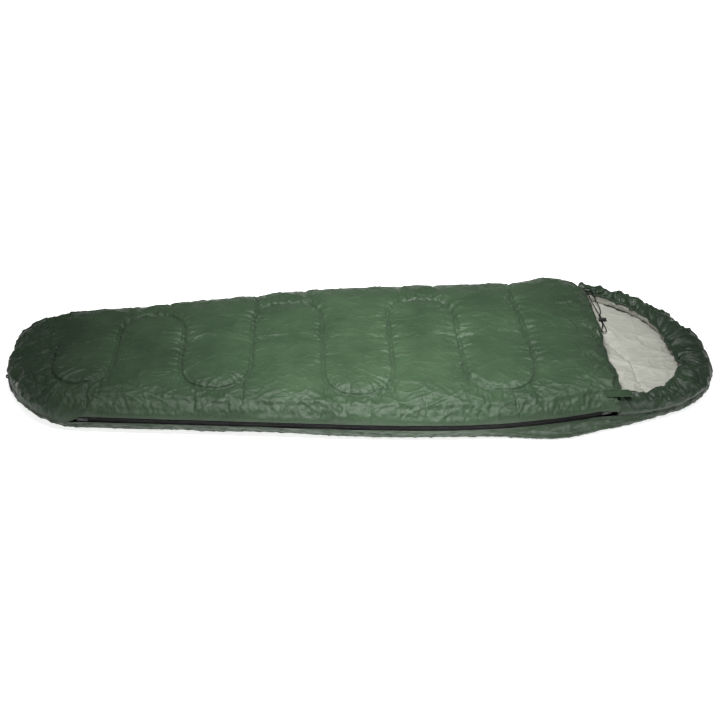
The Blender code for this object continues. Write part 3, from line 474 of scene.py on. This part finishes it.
def make_materials():
    return {
        "shell": fabric("shell_satin", (0.018, 0.036, 0.017), (0.030, 0.056, 0.028),
                        0.46, 0.04, SATIN_CRINKLE, 0.26),
        "band": fabric("bottom_satin", (0.018, 0.032, 0.017), (0.030, 0.050, 0.028),
                       0.44, 0.04, SATIN_CRINKLE, 0.30),
        # hood rim: the shell's satin painted darker, as painted shade for the self-shadowing of the
        # rim's gathers
        "hood": fabric("hood_satin_painted_shade", (0.012, 0.025, 0.012), (0.022, 0.042, 0.021),
                       0.40, 0.04, SATIN_CRINKLE, 0.36),
        "hem": fabric("hem_satin", (0.010, 0.022, 0.010), (0.018, 0.036, 0.017),
                      0.50, 0.05, 0.0010),
        "lining": fabric("grey_lining", (0.300, 0.302, 0.262), (0.350, 0.352, 0.308),
                         0.62, 0.1, 0.0022),
        "tape": fabric("zip_tape", grey(0.003), grey(0.007), 0.85, 0.0, 0.0002, 0.15,
                       weave=(700.0, 0.0002)),
        "cord": fabric("black_cord", grey(0.004), grey(0.009), 0.80, 0.0, 0.0002, 0.2,
                       weave=(600.0, 0.0004)),
        "hook": fabric("hook_and_loop", (0.020, 0.030, 0.020), (0.040, 0.055, 0.040),
                       0.95, 0.3, 0.0004, weave=(420.0, 0.0008)),
        "coil": hard("nylon_coil", grey(0.005), 0.50, 0.0),
        "metal": hard("dark_metal", (0.045, 0.045, 0.047), 0.38, 0.75),
        "plastic": hard("black_acetal", grey(0.006), 0.42, 0.0),
    }


# ---------------------------------------------------------------- top quilt
def fullness(x, column):
    """How full the quilt is, 0 at its edge to 1 in the middle; column runs from -1 to 1."""
    across = np.maximum(0.0, 1 - np.abs(column) ** 5.5)
    foot = np.maximum(0.0, 1 - foot_share(x) ** 2.6)
    return across ** (1 / 2.2) * np.sqrt(foot)


def crinkle(x, y, strength):
    """Small creases of loosely filled satin; strength is an array or a number."""
    value = 0.0045 * noise(x * 4.5, y * 4.5, 3)
    value += 0.0024 * noise(x * 11, y * 11, 4)
    value += 0.0050 * (crease(x * 5, y * 7, 5, 0.050) - 0.2)
    value += 0.0034 * (crease(x * 12, y * 15, 6, 0.060) - 0.2)
    value += 0.0016 * (crease(x * 30, y * 36, 8, 0.080) - 0.2)
    value += 0.0006 * noise(x * 40, y * 40, 7)
    return value * strength


def seam_relief(x, y, seams, puff):
    """Puffed cloth between sewn lines, pinched in at them, with puckers across the stitches."""
    gap, along = seam_field(x, y, seams)
    height = puff * (1 - np.exp(-gap / 0.030)) - puff
    groove = -0.0058 * np.exp(-(gap / 0.0042) ** 2)
    near = np.exp(-gap / 0.026)
    phase = noise(along * 9, gap * 4, 11) * 4.5 + noise(along * 23, gap * 10, 12) * 2
    pucker = 0.0030 * near * (1 - np.exp(-gap / 0.004)) * np.sin(along * 150 + phase * 2.2)
    pucker *= 0.35 + 1.3 * smooth(-0.05, 0.35, noise(along * 4.0, 0.5, 13))
    return height + groove + pucker


def inner_height(full):
    return TOP_EDGE_Z + (CEILING_Z - TOP_EDGE_Z) * full ** CEILING_POWER


def zip_side(x):
    """1 where the zip runs, fading out past its foot end."""
    return smooth(ZIP_START[0] - 0.05, ZIP_START[0] + 0.01, x)


def edge_height(x, column):
    """Lower edge of the top quilt: on the bottom one's edge, and on the tape where the zip runs."""
    on_zip = zip_side(x) * np.clip(-column, 0, 1) ** 3
    return EDGE_Z + (TAPE_HIGH_Z - COVER - EDGE_Z) * on_zip


def collar_closing(x):
    share = np.clip((x - (COLLAR_X - COLLAR_ROUND)) / COLLAR_ROUND, 0, 1)
    return np.sqrt(np.maximum(0, 1 - share ** 2.6))


def top_form(x, c):
    """The top quilt's outside before its cloth puffs and creases, and how full it is."""
    middle, half = plan(x)
    full = fullness(x, c)
    edge = edge_height(x, c)
    crown = CROWN_Z - CROWN_DROP - 0.006 * smooth(0.3, 0.0, np.abs(c))
    z = edge + (crown - edge) * full
    seam_z = (z + inner_height(full)) / 2
    z = seam_z + (z - seam_z) * collar_closing(x)
    y = middle + c * half - EDGE_LAP * zip_side(x) * smooth(-0.93, -1.0, c)
    shoulder = np.exp(-((x - 0.655) / 0.085) ** 2)
    y = y + 0.030 * shoulder * smooth(0.35, 0.93, c) * full
    z = z + 0.016 * shoulder * smooth(0.30, 0.75, c) * full * collar_closing(x) ** 0.5
    return np.stack([x, y, z], -1), full


def inflate(points, held, pressure, spare, cap):
    """How far a sheet held along its seams moves when it is blown up.

    spare is how much longer the cloth is than its seams, and cap the furthest that a point moves.
    """
    shape = points.shape
    item = mesh_object("blown", points.reshape(-1, 3).tolist(), grid_faces(*shape[:2]).tolist())
    group = item.vertex_groups.new(name="held")
    group.add(np.nonzero(held.ravel())[0].tolist(), 1.0, "REPLACE")
    cloth = item.modifiers.new("cloth", "CLOTH")
    setup = cloth.settings
    setup.vertex_group_mass = "held"
    setup.quality = 5
    setup.mass = 0.12
    setup.tension_stiffness = setup.compression_stiffness = 9
    setup.shear_stiffness = 3
    setup.bending_stiffness = 0.03
    setup.tension_damping = setup.compression_damping = setup.shear_damping = 6
    setup.use_pressure = True
    setup.uniform_pressure_force = pressure
    setup.shrink_min = -spare
    setup.effector_weights.gravity = 0
    cloth.collision_settings.use_collision = False
    cloth.point_cache.frame_start, cloth.point_cache.frame_end = 1, SIM_FRAMES
    scene = bpy.context.scene
    for number in range(1, SIM_FRAMES + 1):
        scene.frame_set(number)
    blown = item.evaluated_get(bpy.context.evaluated_depsgraph_get()).to_mesh()
    moved = np.empty(len(blown.vertices) * 3)
    blown.vertices.foreach_get("co", moved)
    bpy.data.objects.remove(item)
    scene.frame_set(1)
    change = moved.reshape(shape) - points
    size = np.maximum(np.linalg.norm(change, axis=2, keepdims=True), 1e-9)
    return change * (cap * np.tanh(size / cap) / size)


def weights(fine, coarse):
    """Catmull-Rom weights that read values kept at coarse places at the fine ones."""
    at = np.interp(fine, coarse, np.arange(len(coarse)))
    k = np.clip(np.floor(at).astype(int), 0, len(coarse) - 2)
    t = at - k
    table = np.zeros((len(fine), len(coarse)))
    terms = (-0.5 * t + t ** 2 - 0.5 * t ** 3, 1 - 2.5 * t ** 2 + 1.5 * t ** 3,
             0.5 * t + 2 * t ** 2 - 1.5 * t ** 3, -0.5 * t ** 2 + 0.5 * t ** 3)
    for step, term in zip((-1, 0, 1, 2), terms):
        np.add.at(table, (np.arange(len(fine)), np.clip(k + step, 0, len(coarse) - 1)), term)
    return table


def blown_quilt(rows, columns, seams):
    """Puff of the top quilt's cloth between its seams, at the rows and columns of the fine grid."""
    coarse_rows = np.linspace(rows[0], rows[-1], round((rows[-1] - rows[0]) / SIM_PITCH))
    coarse_columns = np.linspace(-1, 1, round(0.78 / SIM_PITCH))
    x, c = np.meshgrid(coarse_rows, coarse_columns, indexing="ij")
    points, full = top_form(x, c)
    gap, _ = seam_field(points[..., 0], points[..., 1], seams)
    held = (gap < SIM_PITCH * 0.72) & (full > 0.25)
    held |= (np.abs(c) > 0.985) | (x < rows[0] + 0.008) | (x > rows[-1] - 0.004)
    change = inflate(points, held, SIM_PRESSURE, SIM_SPARE, SIM_CAP)
    read_rows, read_columns = weights(rows, coarse_rows), weights(columns, coarse_columns)
    return np.stack([read_rows @ change[..., k] @ read_columns.T for k in range(3)], -1)


def top_quilt(look):
    """The quilted shell; returns its last row of points, at the collar."""
    rows = bands((FOOT_END_X, FOOT_END_X + 0.06, 0.0022),
                 (FOOT_END_X + 0.06, COLLAR_X - 0.06, 0.0028),
                 (COLLAR_X - 0.06, COLLAR_X, 0.0020))
    edge = 1 - np.linspace(0, 1, 34) ** 1.5 * 0.18
    columns = np.concatenate([-edge, np.linspace(-0.82, 0.82, 250)[1:-1], edge[::-1]])
    x, c = np.meshgrid(rows, columns, indexing="ij")
    points, full = top_form(x, c)
    mask = smooth(0.0, 0.35, full)
    y = points[..., 1]
    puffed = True
    if puffed:
        points = points + blown_quilt(rows, columns, TOP_SEAMS)
    normal = grid_normals(points)
    _, half = plan(x)
    strength = 0.55 + 1.1 * smooth(-0.86, -1.02, x) + 0.5 * smooth(0.62, 0.74, x)
    relief = crinkle(x, y, strength) * (0.35 + 0.65 * mask)
    relief += seam_relief(x, y, TOP_SEAMS, 0.002 if puffed else 0.008) * mask
    # ridge above the zip, and the gathers between the two
    inward = (1 + c) * half
    beside = smooth(ZIP_START[0] - 0.07, ZIP_START[0] + 0.03, x)
    ridge = 0.040 + 0.006 * noise(x * 6, 0.5, 21)
    relief += beside * 0.0022 * np.exp(-((inward - ridge) / 0.008) ** 2)
    relief -= beside * 0.0018 * np.exp(-((inward - ridge + 0.014) / 0.008) ** 2)
    gather = np.sin((x + 0.25 * inward * noise(x * 5, 0.2, 22)) * 330
                    + 5 * noise(x * 9, inward * 12, 23))
    gather = gather * np.exp(-((inward - 0.015) / 0.012) ** 2) * (0.5 + noise(x * 6, 0.7, 24))
    relief += beside * 0.0006 * gather
    for lean, seed in ((22, 25), (-18, 26)):
        slant = crease(x * 11 + inward * lean, inward * 6 + x * 2, seed, 0.10) - 0.30
        relief += beside * 0.0030 * slant * np.exp(-((inward - 0.050) / 0.045) ** 2) * mask
    # long packing crease
    fold_y = 0.03 + 0.09 * x + 0.030 * noise(x * 3, 0.3, 31)
    worn = smooth(0.0, 0.3, noise(x * 5, 0.8, 32)) * smooth(-0.75, -0.5, x)
    relief += 0.0016 * np.exp(-np.abs(y - fold_y) / 0.005) * worn * mask
    # folds that run in from the foot's seam
    foot = smooth(-0.93, -1.08, x)
    relief += foot * 0.0080 * (crease(x * 3.5, y * 17, 33, 0.09) - 0.25) * mask
    corner = np.exp(-((x + 0.93) / 0.11) ** 2) * smooth(-0.02, -0.16, y)
    relief += corner * 0.0085 * (crease(x * 5 + y * 4, y * 17 - x * 11, 34, 0.08) - 0.25) * mask
    # gathers at the collar
    pull = smooth(COLLAR_X - 0.100, COLLAR_X - 0.006, x)
    near_half = 0.25 + 0.75 * smooth(0.22, -0.10, y)
    ripple = crease(y * 19 + 0.6 * noise(x * 9, y * 5, 42), x * 3.5, 41, 0.20) - 0.42
    relief += pull * 0.0150 * near_half * ripple * np.maximum(collar_closing(x), 0.35)
    sag = smooth(0.02, -0.24, y) * smooth(COLLAR_X - 0.16, COLLAR_X - 0.01, x)
    relief += sag * 0.0080 * (crease(y * 12 - x * 7, x * 9 + y * 3, 44, 0.10) - 0.45) * mask
    far_fold = np.exp(-((y - 0.15) / 0.10) ** 2) * smooth(0.60, 0.72, x)
    relief += far_fold * 0.0030 * (crease((x - 0.35 * y) * 16, y * 3, 43, 0.15) - 0.3)
    points = points + normal * relief[..., None]
    ruffle = 0.020 * noise(y * 9, 0.5, 45) + 0.012 * noise(y * 21, 0.8, 46) + 0.004
    loose = smooth(COLLAR_X - 0.07, COLLAR_X, x) * smooth(-0.96, -0.80, c)
    points[..., 0] += loose * near_half * ruffle
    points[..., 2] = np.minimum(points[..., 2], CROWN_Z + HIGHEST_CREASE)
    for thread in stitching("quilt_stitching", TOP_SEAMS, points, rows, columns, 0, QUILT_THREAD_R,
                            look["hem"]):
        blend_flap(thread)
    quilt = grid_object("top_quilt_shell", points, look["shell"])
    blend_flap(quilt)
    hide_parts("top_shell_fixed", "top_shell_flap",
                "top_insulation_fixed", "top_insulation_flap")
    return points[-1]


def between(places, at):
    """Index of the place below each value, and how far it is towards the next."""
    index = np.interp(at, places, np.arange(len(places)))
    low = np.clip(index.astype(int), 0, len(places) - 2)
    return low, (index - low)[:, None]


def stitching(name, seams, points, rows, columns, inset, radius, surface):
    """Lock stitches along quilting seams, laid on the finished cloth."""
    threads = []
    for number, line in enumerate(seams):
        line = resample(line, 0.0020)
        middle, half = plan(line[:, 0])
        across = (line[:, 1] - middle) / (half - inset)
        inside = np.abs(across) < min(0.97, columns[-1])
        line, across = line[inside], across[inside]
        low, share = between(rows, line[:, 0])
        path = points[low] * (1 - share[..., None]) + points[low + 1] * share[..., None]
        low, share = between(columns, across)
        each = np.arange(len(low))
        path = path[each, low] * (1 - share) + path[each, low + 1] * share
        stitch = 0.55 + 0.45 * np.sign(np.sin(np.arange(len(path)) * math.pi / 2 + 0.1))
        tube = tube_points(path, radius, 6, stitch)
        threads.append(grid_object(f"{name}_{number + 1}", tube, surface))
    return threads


def blend_flap(item):
    """Bake a piece's placement into its mesh; the piece is not bent."""
    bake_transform(item)


def top_lining(look):
    rows = bands((FOOT_END_X + 0.03, COLLAR_X - 0.06, 0.010), (COLLAR_X - 0.06, COLLAR_X, 0.004))
    columns = np.linspace(-0.95, 0.95, 90)
    x, c = np.meshgrid(rows, columns, indexing="ij")
    middle, half = plan(x)
    y = middle + c * half
    full = fullness(x, c)
    edge = edge_height(x, c)
    inner = inner_height(full)
    seam_z = (edge + (CROWN_Z - CROWN_DROP - edge) * full + inner) / 2
    z = seam_z + (inner - seam_z) * collar_closing(x)
    gap, _ = seam_field(x, y, TOP_SEAMS)
    z = z + 0.005 * np.exp(-gap / 0.02) + 0.5 * crinkle(x + 3, y, 1.0)
    z = np.maximum(z, LINING_Z + 0.002)
    lining = grid_object("top_quilt_lining", np.stack([x, y, z], -1), look["lining"], flip=True)
    blend_flap(lining)
    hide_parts("top_lining_fixed", "top_lining_flap")


# ---------------------------------------------------------------- bottom quilt and hood
def outward(loop):
    """Unit vectors that point out of a closed loop."""
    along = np.roll(loop, -1, 0) - np.roll(loop, 1, 0)
    along /= np.linalg.norm(along, axis=1, keepdims=True)
    return np.stack([along[:, 1], -along[:, 0]], 1)


def arc_run(loop):
    """Distance along a line at each of its points."""
    return np.concatenate([[0], np.cumsum(np.linalg.norm(np.diff(loop, axis=0), axis=1))])


def section(points, count):
    """A smooth section line through (out, z) points."""
    line = through(points, 0.001)
    return resample(line, np.sum(np.linalg.norm(np.diff(line, axis=0), axis=1)) / (count - 1))


def bottom_quilt(look):
    loop = outline(0.005)
    out = outward(loop)
    run = arc_run(loop)
    line = section([(-0.060, 0.0008), (-0.022, 0.0008), (-0.008, 0.0045), (0.0015, 0.0150),
                    (0.0030, 0.0250), (0.0000, EDGE_Z)], 30)
    count = len(line)
    u, k = np.meshgrid(np.arange(len(loop)), np.arange(count), indexing="ij")
    points = np.empty((len(loop), count, 3))
    height = line[k][..., 1]
    near_side = smooth(0.05, -0.15, loop[:, 1])[u]
    x = loop[:, 0]
    spread = 0.046 * np.exp(-((x - 0.60) / 0.17) ** 2) - 0.008 - 0.008 * smooth(0.0, -0.3, x)
    spread *= smooth(1.02, 0.9, x) * smooth(-1.10, -1.00, x)
    spread += 0.008 * noise(x * 4, 0.5, 60)
    bulge = spread[u] * near_side * smooth(EDGE_Z, 0.010, height)
    points[..., :2] = loop[u] + out[u] * (line[k][..., :1] + bulge[..., None])
    points[..., 2] = height
    normal = grid_normals(points, closed_u=True)
    wave = run[u]
    free = smooth(0.001, 0.012, height)
    slant = wave * 9 + height * 160
    relief = 0.0045 * noise(slant, height * 30, 61)
    relief += 0.0050 * (crease(slant * 1.3, height * 40, 62, 0.16) - 0.35)
    relief += 0.0022 * (crease(wave * 30 - height * 250, height * 50, 63, 0.15) - 0.35)
    relief *= free * (1 - 0.6 * smooth(0.030, EDGE_Z, height))
    points = points + normal * relief[..., None]
    points[..., 2] = np.maximum(points[..., 2], UNDERSIDE_Z)
    # the last three rows lap over the zip's lower tape
    on_tape = near_side * (zip_side(x) * smooth(0.775, 0.765, x))[u]
    lip = on_tape[..., None] * np.clip(k - count + 4, 0, 3)[..., None]
    points += lip / 3 * np.array([0.0, -0.0026, 0.0048])
    side = grid_object("bottom_quilt_side", points, look["band"], "base", closed_u=True)

    rows = np.linspace(FOOT_END_X + 0.035, HOOD_TIP_X - 0.035, 160)
    x, c = np.meshgrid(rows, np.linspace(-1, 1, 60), indexing="ij")
    middle, half = plan(x)
    y = middle + c * np.maximum(half - 0.045, 0.01)
    gap, _ = seam_field(x, y, TOP_SEAMS)
    z = UNDERSIDE_Z + 0.0025 * np.exp(-gap / 0.010)
    under = grid_object("bottom_quilt_underside", np.stack([x, y, z], -1), look["band"], "base",
                        flip=True)
    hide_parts("bottom_shell", "bottom_insulation")


def hood_path(spacing):
    """The part of the outline that carries the hood's rim, from the near to the far neck."""
    loop = outline(spacing)
    out = outward(loop)
    keep = np.where(loop[:, 0] >= RIM_START_X - RIM_BACK)[0]
    return loop[keep], out[keep]


def read_table(table, share):
    return np.interp(share, [step[0] for step in table], [step[1] for step in table])


def hood_rim(look):
    loop, out = hood_path(0.0030)
    run = arc_run(loop)
    share = run / run[-1]
    closed = np.sqrt(np.clip(np.minimum(run, run[-1] - run) / 0.010, 0.02, 1))
    widths = read_table(RIM_WIDTHS, share) * (0.4 + 0.6 * closed)
    tops = EDGE_Z + (RIM_Z - read_table(RIM_DROPS, share) - EDGE_Z) * closed
    unit = section([(0.0, 0.0), (0.05, 0.20), (0.01, 0.42), (-0.14, 0.74), (-0.36, 0.95),
                    (-0.62, 1.0), (-0.85, 0.94), (-0.99, 0.80), (-1.0, 0.68)], 56)
    count = len(unit)
    u, k = np.meshgrid(np.arange(len(loop)), np.arange(count), indexing="ij")
    points = np.empty((len(loop), count, 3))
    points[..., :2] = loop[u] + out[u] * (unit[k][..., :1] * widths[u][..., None])
    points[..., 2] = EDGE_Z + unit[k][..., 1] * (tops[u] - EDGE_Z)
    normal = grid_normals(points)
    s = k / (count - 1)
    wave = run[u]
    lean = wave + 0.05 * s * noise(wave * 3, 0.3, 70)
    folds = crease(lean * 15 + 0.8 * noise(wave * 5, s * 2, 71), s * 1.3, 72, 0.22) - 0.40
    fine = crease(lean * 36, s * 2.0, 73, 0.20) - 0.4
    broad = noise(lean * 8, s * 1.6, 74)
    grip = smooth(-0.10, 0.42, s)
    size = (widths / 0.08)[u] ** 0.5
    relief = size * (0.0120 * grip * folds + 0.0070 * grip * fine
                     + 0.0110 * broad * smooth(0.05, 0.5, s))
    relief += 0.0050 * noise(lean * 17, s * 4, 75) * smooth(0.02, 0.2, s)
    relief *= closed[u]
    points = points + normal * relief[..., None]
    # the rim's darker satin is painted shade for its gathers; the cloth is the same as the shell's
    rim = grid_object("hood_rim", points, look["hood"], "base")
    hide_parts("hood_rim_shell", "hood_rim_insulation")

    # rolled hem that holds the drawcord
    edge = points[:, -1]
    swell = 1 + 0.25 * noise(run * 60, 0.5, 76) + 0.2 * noise(run * 140, 0.7, 77)
    bead = tube_points(edge, 0.0042, 12, swell)
    hem = grid_object("hood_hem", bead, look["hem"], "base")
    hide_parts("hood_channel", "hood_drawcord")

    # lining on the inner side of the rim
    wall = np.empty((len(loop), 12, 3))
    t = np.linspace(0, 1, 12)
    inner = edge[:, None, :2]
    foot = (loop - out * (widths * 0.80)[:, None])[:, None, :]
    wall[..., :2] = inner + (foot - inner) * (t ** 1.6)[None, :, None]
    top = edge[:, 2:3]
    wall[..., 2] = top - (top - LINING_Z - 0.001) * np.sin(t * math.pi / 2)[None]
    ripple = crease(run[:, None] * 20, t[None] * 1.5, 78, 0.25) - 0.4
    wall[..., :2] -= out[:, None] * (0.004 * ripple * np.sin(np.pi * t)[None])[..., None]
    facing = grid_object("hood_rim_facing", wall, look["lining"], "base")
    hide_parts("hood_rim_lining")


def ring(angle, side, up):
    """Unit vectors round a line at each of its points, from two arrays of directions across it."""
    return (np.cos(angle)[None, :, None] * side[:, None]
            + np.sin(angle)[None, :, None] * up[:, None])


def directions_across(path, above):
    along = np.gradient(path, axis=0)
    along /= np.linalg.norm(along, axis=1, keepdims=True)
    side = np.cross(along, np.array(above))
    side /= np.linalg.norm(side, axis=1, keepdims=True)
    return side, np.cross(side, along)


def tube_points(path, radius, sides, swell):
    """Points of a round tube along a path [n][3], its radius times swell at each point."""
    angle = np.linspace(0, math.tau, sides + 1)
    around = ring(angle, *directions_across(path, (0.0, 0.0, 1.0)))
    return path[:, None] + (radius * swell)[:, None, None] * around


def bottom_lining(look):
    rows = bands((FOOT_END_X + 0.04, 0.62, 0.012), (0.62, HOOD_TIP_X - 0.05, 0.0045))
    columns = np.linspace(-0.95, 0.95, 170)
    x, c = np.meshgrid(rows, columns, indexing="ij")
    middle, half = plan(x)
    y = middle + c * (half - LINING_INSET)
    gap, along = seam_field(x, y, LINING_SEAMS)
    z = LINING_Z - 0.010 + 0.0095 * (1 - np.exp(-gap / 0.035))
    z -= 0.0030 * np.exp(-(gap / 0.003) ** 2)
    z += 0.0018 * np.exp(-gap / 0.02) * np.sin(along * 160 + 4 * noise(along * 9, gap * 5, 81))
    z += crinkle(x + 7, y + 2, 1.2) + 0.0060 * noise(x * 8, y * 8, 82)
    z += 0.0040 * (crease(x * 6, y * 6, 83, 0.06) - 0.2)
    # lower where the drawcord and its lock lie
    cord_side = smooth(0.77, 0.79, x) * smooth(0.85, 0.83, x) * smooth(0.13, 0.15, y)
    z = np.minimum(z, LINING_Z + 0.0015 - 0.0010 * cord_side)
    z -= 0.006 * smooth(0.9, 1.0, np.abs(c))
    points = np.stack([x, y, z], -1)
    for thread in stitching("lining_stitching", LINING_SEAMS, points, rows, columns, LINING_INSET,
                            LINING_THREAD_R, look["hem"]):
        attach(thread, "base")
    floor = grid_object("bottom_quilt_lining", points, look["lining"], "base")
    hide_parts("bottom_lining")


# ---------------------------------------------------------------- collar hem
def collar_hem(seam, look):
    """Drawcord casing along the quilt's last row of cloth."""
    path = resample(seam[12:-30], 0.0020) + np.array([0.0015, 0, -0.0015])
    y = path[:, 1]
    swell = 1 + 0.22 * noise(y * 60, 0.5, 93) + 0.15 * noise(y * 150, 0.2, 94)
    hem = grid_object("collar_hem", tube_points(path, 0.0048, 12, swell), look["hem"])
    blend_flap(hem)
    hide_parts("collar_channel_fixed", "collar_channel_flap", "collar_drawcord_fixed",
                "collar_drawcord_flap")


# ---------------------------------------------------------------- drawcord
DRAWCORD_POINTS = [
    (0.7750, 0.3570, 0.0870), (0.7715, 0.3568, 0.0880), (0.7690, 0.3555, 0.0925),
    (0.7705, 0.3525, 0.0985), (0.7765, 0.3490, 0.1030), (0.7850, 0.3455, 0.1040),
    (0.7925, 0.3400, 0.1010), (0.7985, 0.3325, 0.0950), (0.8020, 0.3230, 0.0865),
    (0.8075, 0.3110, 0.0755), (0.8145, 0.2980, 0.0660), (0.8175, 0.2840, 0.0590),
    (0.8160, 0.2690, 0.0555), (0.8128, 0.2550, 0.0541), (0.8128, 0.2240, 0.0541),
    (0.8128, 0.1950, 0.0541), (0.8140, 0.1830, 0.0530), (0.8165, 0.1700, 0.0508),
    (0.8150, 0.1580, 0.0496), (0.8080, 0.1520, 0.0494), (0.8010, 0.1575, 0.0496),
    (0.8020, 0.1700, 0.0508), (0.8070, 0.1830, 0.0530), (0.8092, 0.1950, 0.0541),
    (0.8092, 0.2240, 0.0541), (0.8092, 0.2550, 0.0541), (0.8065, 0.2700, 0.0570),
    (0.8005, 0.2850, 0.0645), (0.7935, 0.2995, 0.0740), (0.7880, 0.3140, 0.0825),
    (0.7845, 0.3280, 0.0895), (0.7815, 0.3385, 0.0930), (0.7765, 0.3430, 0.0935),
    (0.7710, 0.3430, 0.0920), (0.7678, 0.3395, 0.0898), (0.7672, 0.3355, 0.0890)]


def drawcord(look):
    path = through(DRAWCORD_POINTS, 0.0015)
    # braid: strands that wind both ways along the cord
    twist = arc_run(path)[:, None] * 1400
    angle = np.linspace(0, math.tau, 13)
    strands = np.sin(2 * angle[None] + twist) * np.sin(2 * angle[None] - twist)
    r = CORD_D / 2 * (1 + 0.07 * strands)
    around = ring(angle, *directions_across(path, (0.13, 0.21, 1.0)))
    cord = grid_object("drawcord", path[:, None] + r[..., None] * around, look["cord"], "base")
    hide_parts("drawcord_loop")


def lock_spring(look):
    """The coil between the lock's barrel and its button; on the real lock it flattens as the button
    is pressed, here it keeps its shape.
    """
    low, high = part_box("cord_lock_spring")
    turns, wire = 4, 0.00022
    t = np.linspace(0, 1, 24 * turns + 1)
    radius = (high.y - low.y) / 2 - wire
    angle = t * turns * math.tau
    path = np.stack([low.x + wire + (high.x - low.x - 2 * wire) * t,
                     (low.y + high.y) / 2 + radius * np.cos(angle),
                     (low.z + high.z) / 2 + radius * np.sin(angle)], 1)
    out = np.stack([0 * t, np.cos(angle), np.sin(angle)], 1)
    ahead = np.tile((1.0, 0.0, 0.0), (len(t), 1))
    points = path[:, None] + wire * ring(np.linspace(0, math.tau, 9), out, ahead)
    spring = grid_object("lock_coil_spring", points, look["metal"], "cord_lock")
    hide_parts("cord_lock_spring")
    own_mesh(spring)


# ---------------------------------------------------------------- zip
def zip_frames(start, end, step):
    """Points along the zip line and the outward direction at each."""
    count = max(2, round((end - start) / step) + 1)
    at = np.linspace(start, end, count)
    places, outs = [], []
    for d in at:
        p, heading = zip_at(d)
        places.append(p)
        outs.append((math.sin(heading), -math.cos(heading)))
    return np.array(places), np.array(outs)


def zip_tape(name, start, end, side, look):
    """Woven tape: a thin strip from the coil to the cloth, folding a little outwards."""
    places, outs = zip_frames(start, end, 0.006)
    coil = COIL_HIGH[1].z if side > 0 else COIL_LOW[0].z
    edge = TAPE_HIGH_Z if side > 0 else TAPE_LOW_Z
    line = [(0.0004, coil), (0.0008, (coil + edge) / 2), (0.0012, edge), (0.0002, edge),
            (-0.0004, (coil + edge) / 2), (-0.0005, coil), (0.0004, coil)]
    points = np.empty((len(places), len(line), 3))
    for k, (o, z) in enumerate(line):
        points[:, k, :2] = places + outs * o
        points[:, k, 2] = z
    return grid_object(name, points, look["tape"], flip=side < 0)


def coil_teeth(name, start, end, side, look):
    """A row of nylon coil: one small loop a pitch, joined in one mesh."""
    pitch, wire = 0.0017, 0.00036
    low = ZIP_Z + side * 0.00035
    high = COIL_HIGH[1].z if side > 0 else COIL_LOW[0].z
    shift = 0.0 if side > 0 else pitch / 2
    count = int((end - start) / pitch)
    places, outs = zip_frames(start + shift, start + shift + count * pitch, pitch)
    loop = [(0.0011, high), (0.0012, (low * 0.6 + high * 0.4)), (0.0006, low), (-0.0006, low),
            (-0.0012, low * 0.6 + high * 0.4), (-0.0011, high)]
    verts, faces = [], []
    for p, o in zip(places, outs):
        t = np.array([-o[1], o[0]])
        base = len(verts)
        for out, z in loop:
            inner_out, inner_z = out * 0.45, z + (high - z) * 0.25
            for a, b, w in ((out, z, -wire), (out, z, wire),
                            (inner_out, inner_z, wire), (inner_out, inner_z, -wire)):
                q = p + o * a + t * w
                verts.append((q[0], q[1], b))
        for k in range(len(loop) - 1):
            i, j = base + 4 * k, base + 4 * k + 4
            for m in range(4):
                n = (m + 1) % 4
                faces.append((i + m, i + n, j + n, j + m))
        faces.append((base + 3, base + 2, base + 1, base))
        last = base + 4 * (len(loop) - 1)
        faces.append((last, last + 1, last + 2, last + 3))
    item = mesh_object(name, verts, faces)
    item.data.materials.append(look["coil"])
    return item


def zip_parts(look):
    fold = ZIP_RUNS[0][0] + ZIP_RUNS[1][0]
    flap_end = ZIP_LENGTH - 0.004 - 0.006 - 0.005
    rows = [("lower", 0.0, ZIP_LENGTH + 0.012, -1, "base"),
            ("upper_fixed", 0.0, fold, 1, "base"),
            ("upper_flap", fold + 0.002, flap_end, 1, "flap")]
    for name, start, end, side, body in rows:
        tape = zip_tape("tape_" + name, start, end, side, look)
        teeth = coil_teeth("coil_" + name, start, end, side, look)
        for item, cad in ((tape, "zip_tape_" + name), (teeth, "zip_coil_" + name)):
            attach(item, body)
            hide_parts(cad)


# ---------------------------------------------------------------- CAD nodes that stay
def dress_nodes(look):
    for names, surface in (
            (("slider_top", "slider_bottom", "pull_slider_top", "pull_slider_bottom",
              "zip_bottom_stop", "zip_top_stop_upper", "zip_top_stop_lower"), "metal"),
            (("cord_lock_barrel", "cord_lock_button"), "plastic"),
            (("tab_hook_patch", "tab_loop_patch"), "hook"),
            (("hang_loop",), "cord"), (("neck_tab",), "shell")):
        for name in names:
            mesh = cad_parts[name].data
            mesh.materials.clear()
            mesh.materials.append(look[surface])


make_camera()
LOOK = make_materials()
lock_spring(LOOK)
drawcord(LOOK)
make_studio()
COLLAR_SEAM = top_quilt(LOOK)
top_lining(LOOK)
bottom_quilt(LOOK)
hood_rim(LOOK)
bottom_lining(LOOK)
collar_hem(COLLAR_SEAM, LOOK)
zip_parts(LOOK)
dress_nodes(LOOK)
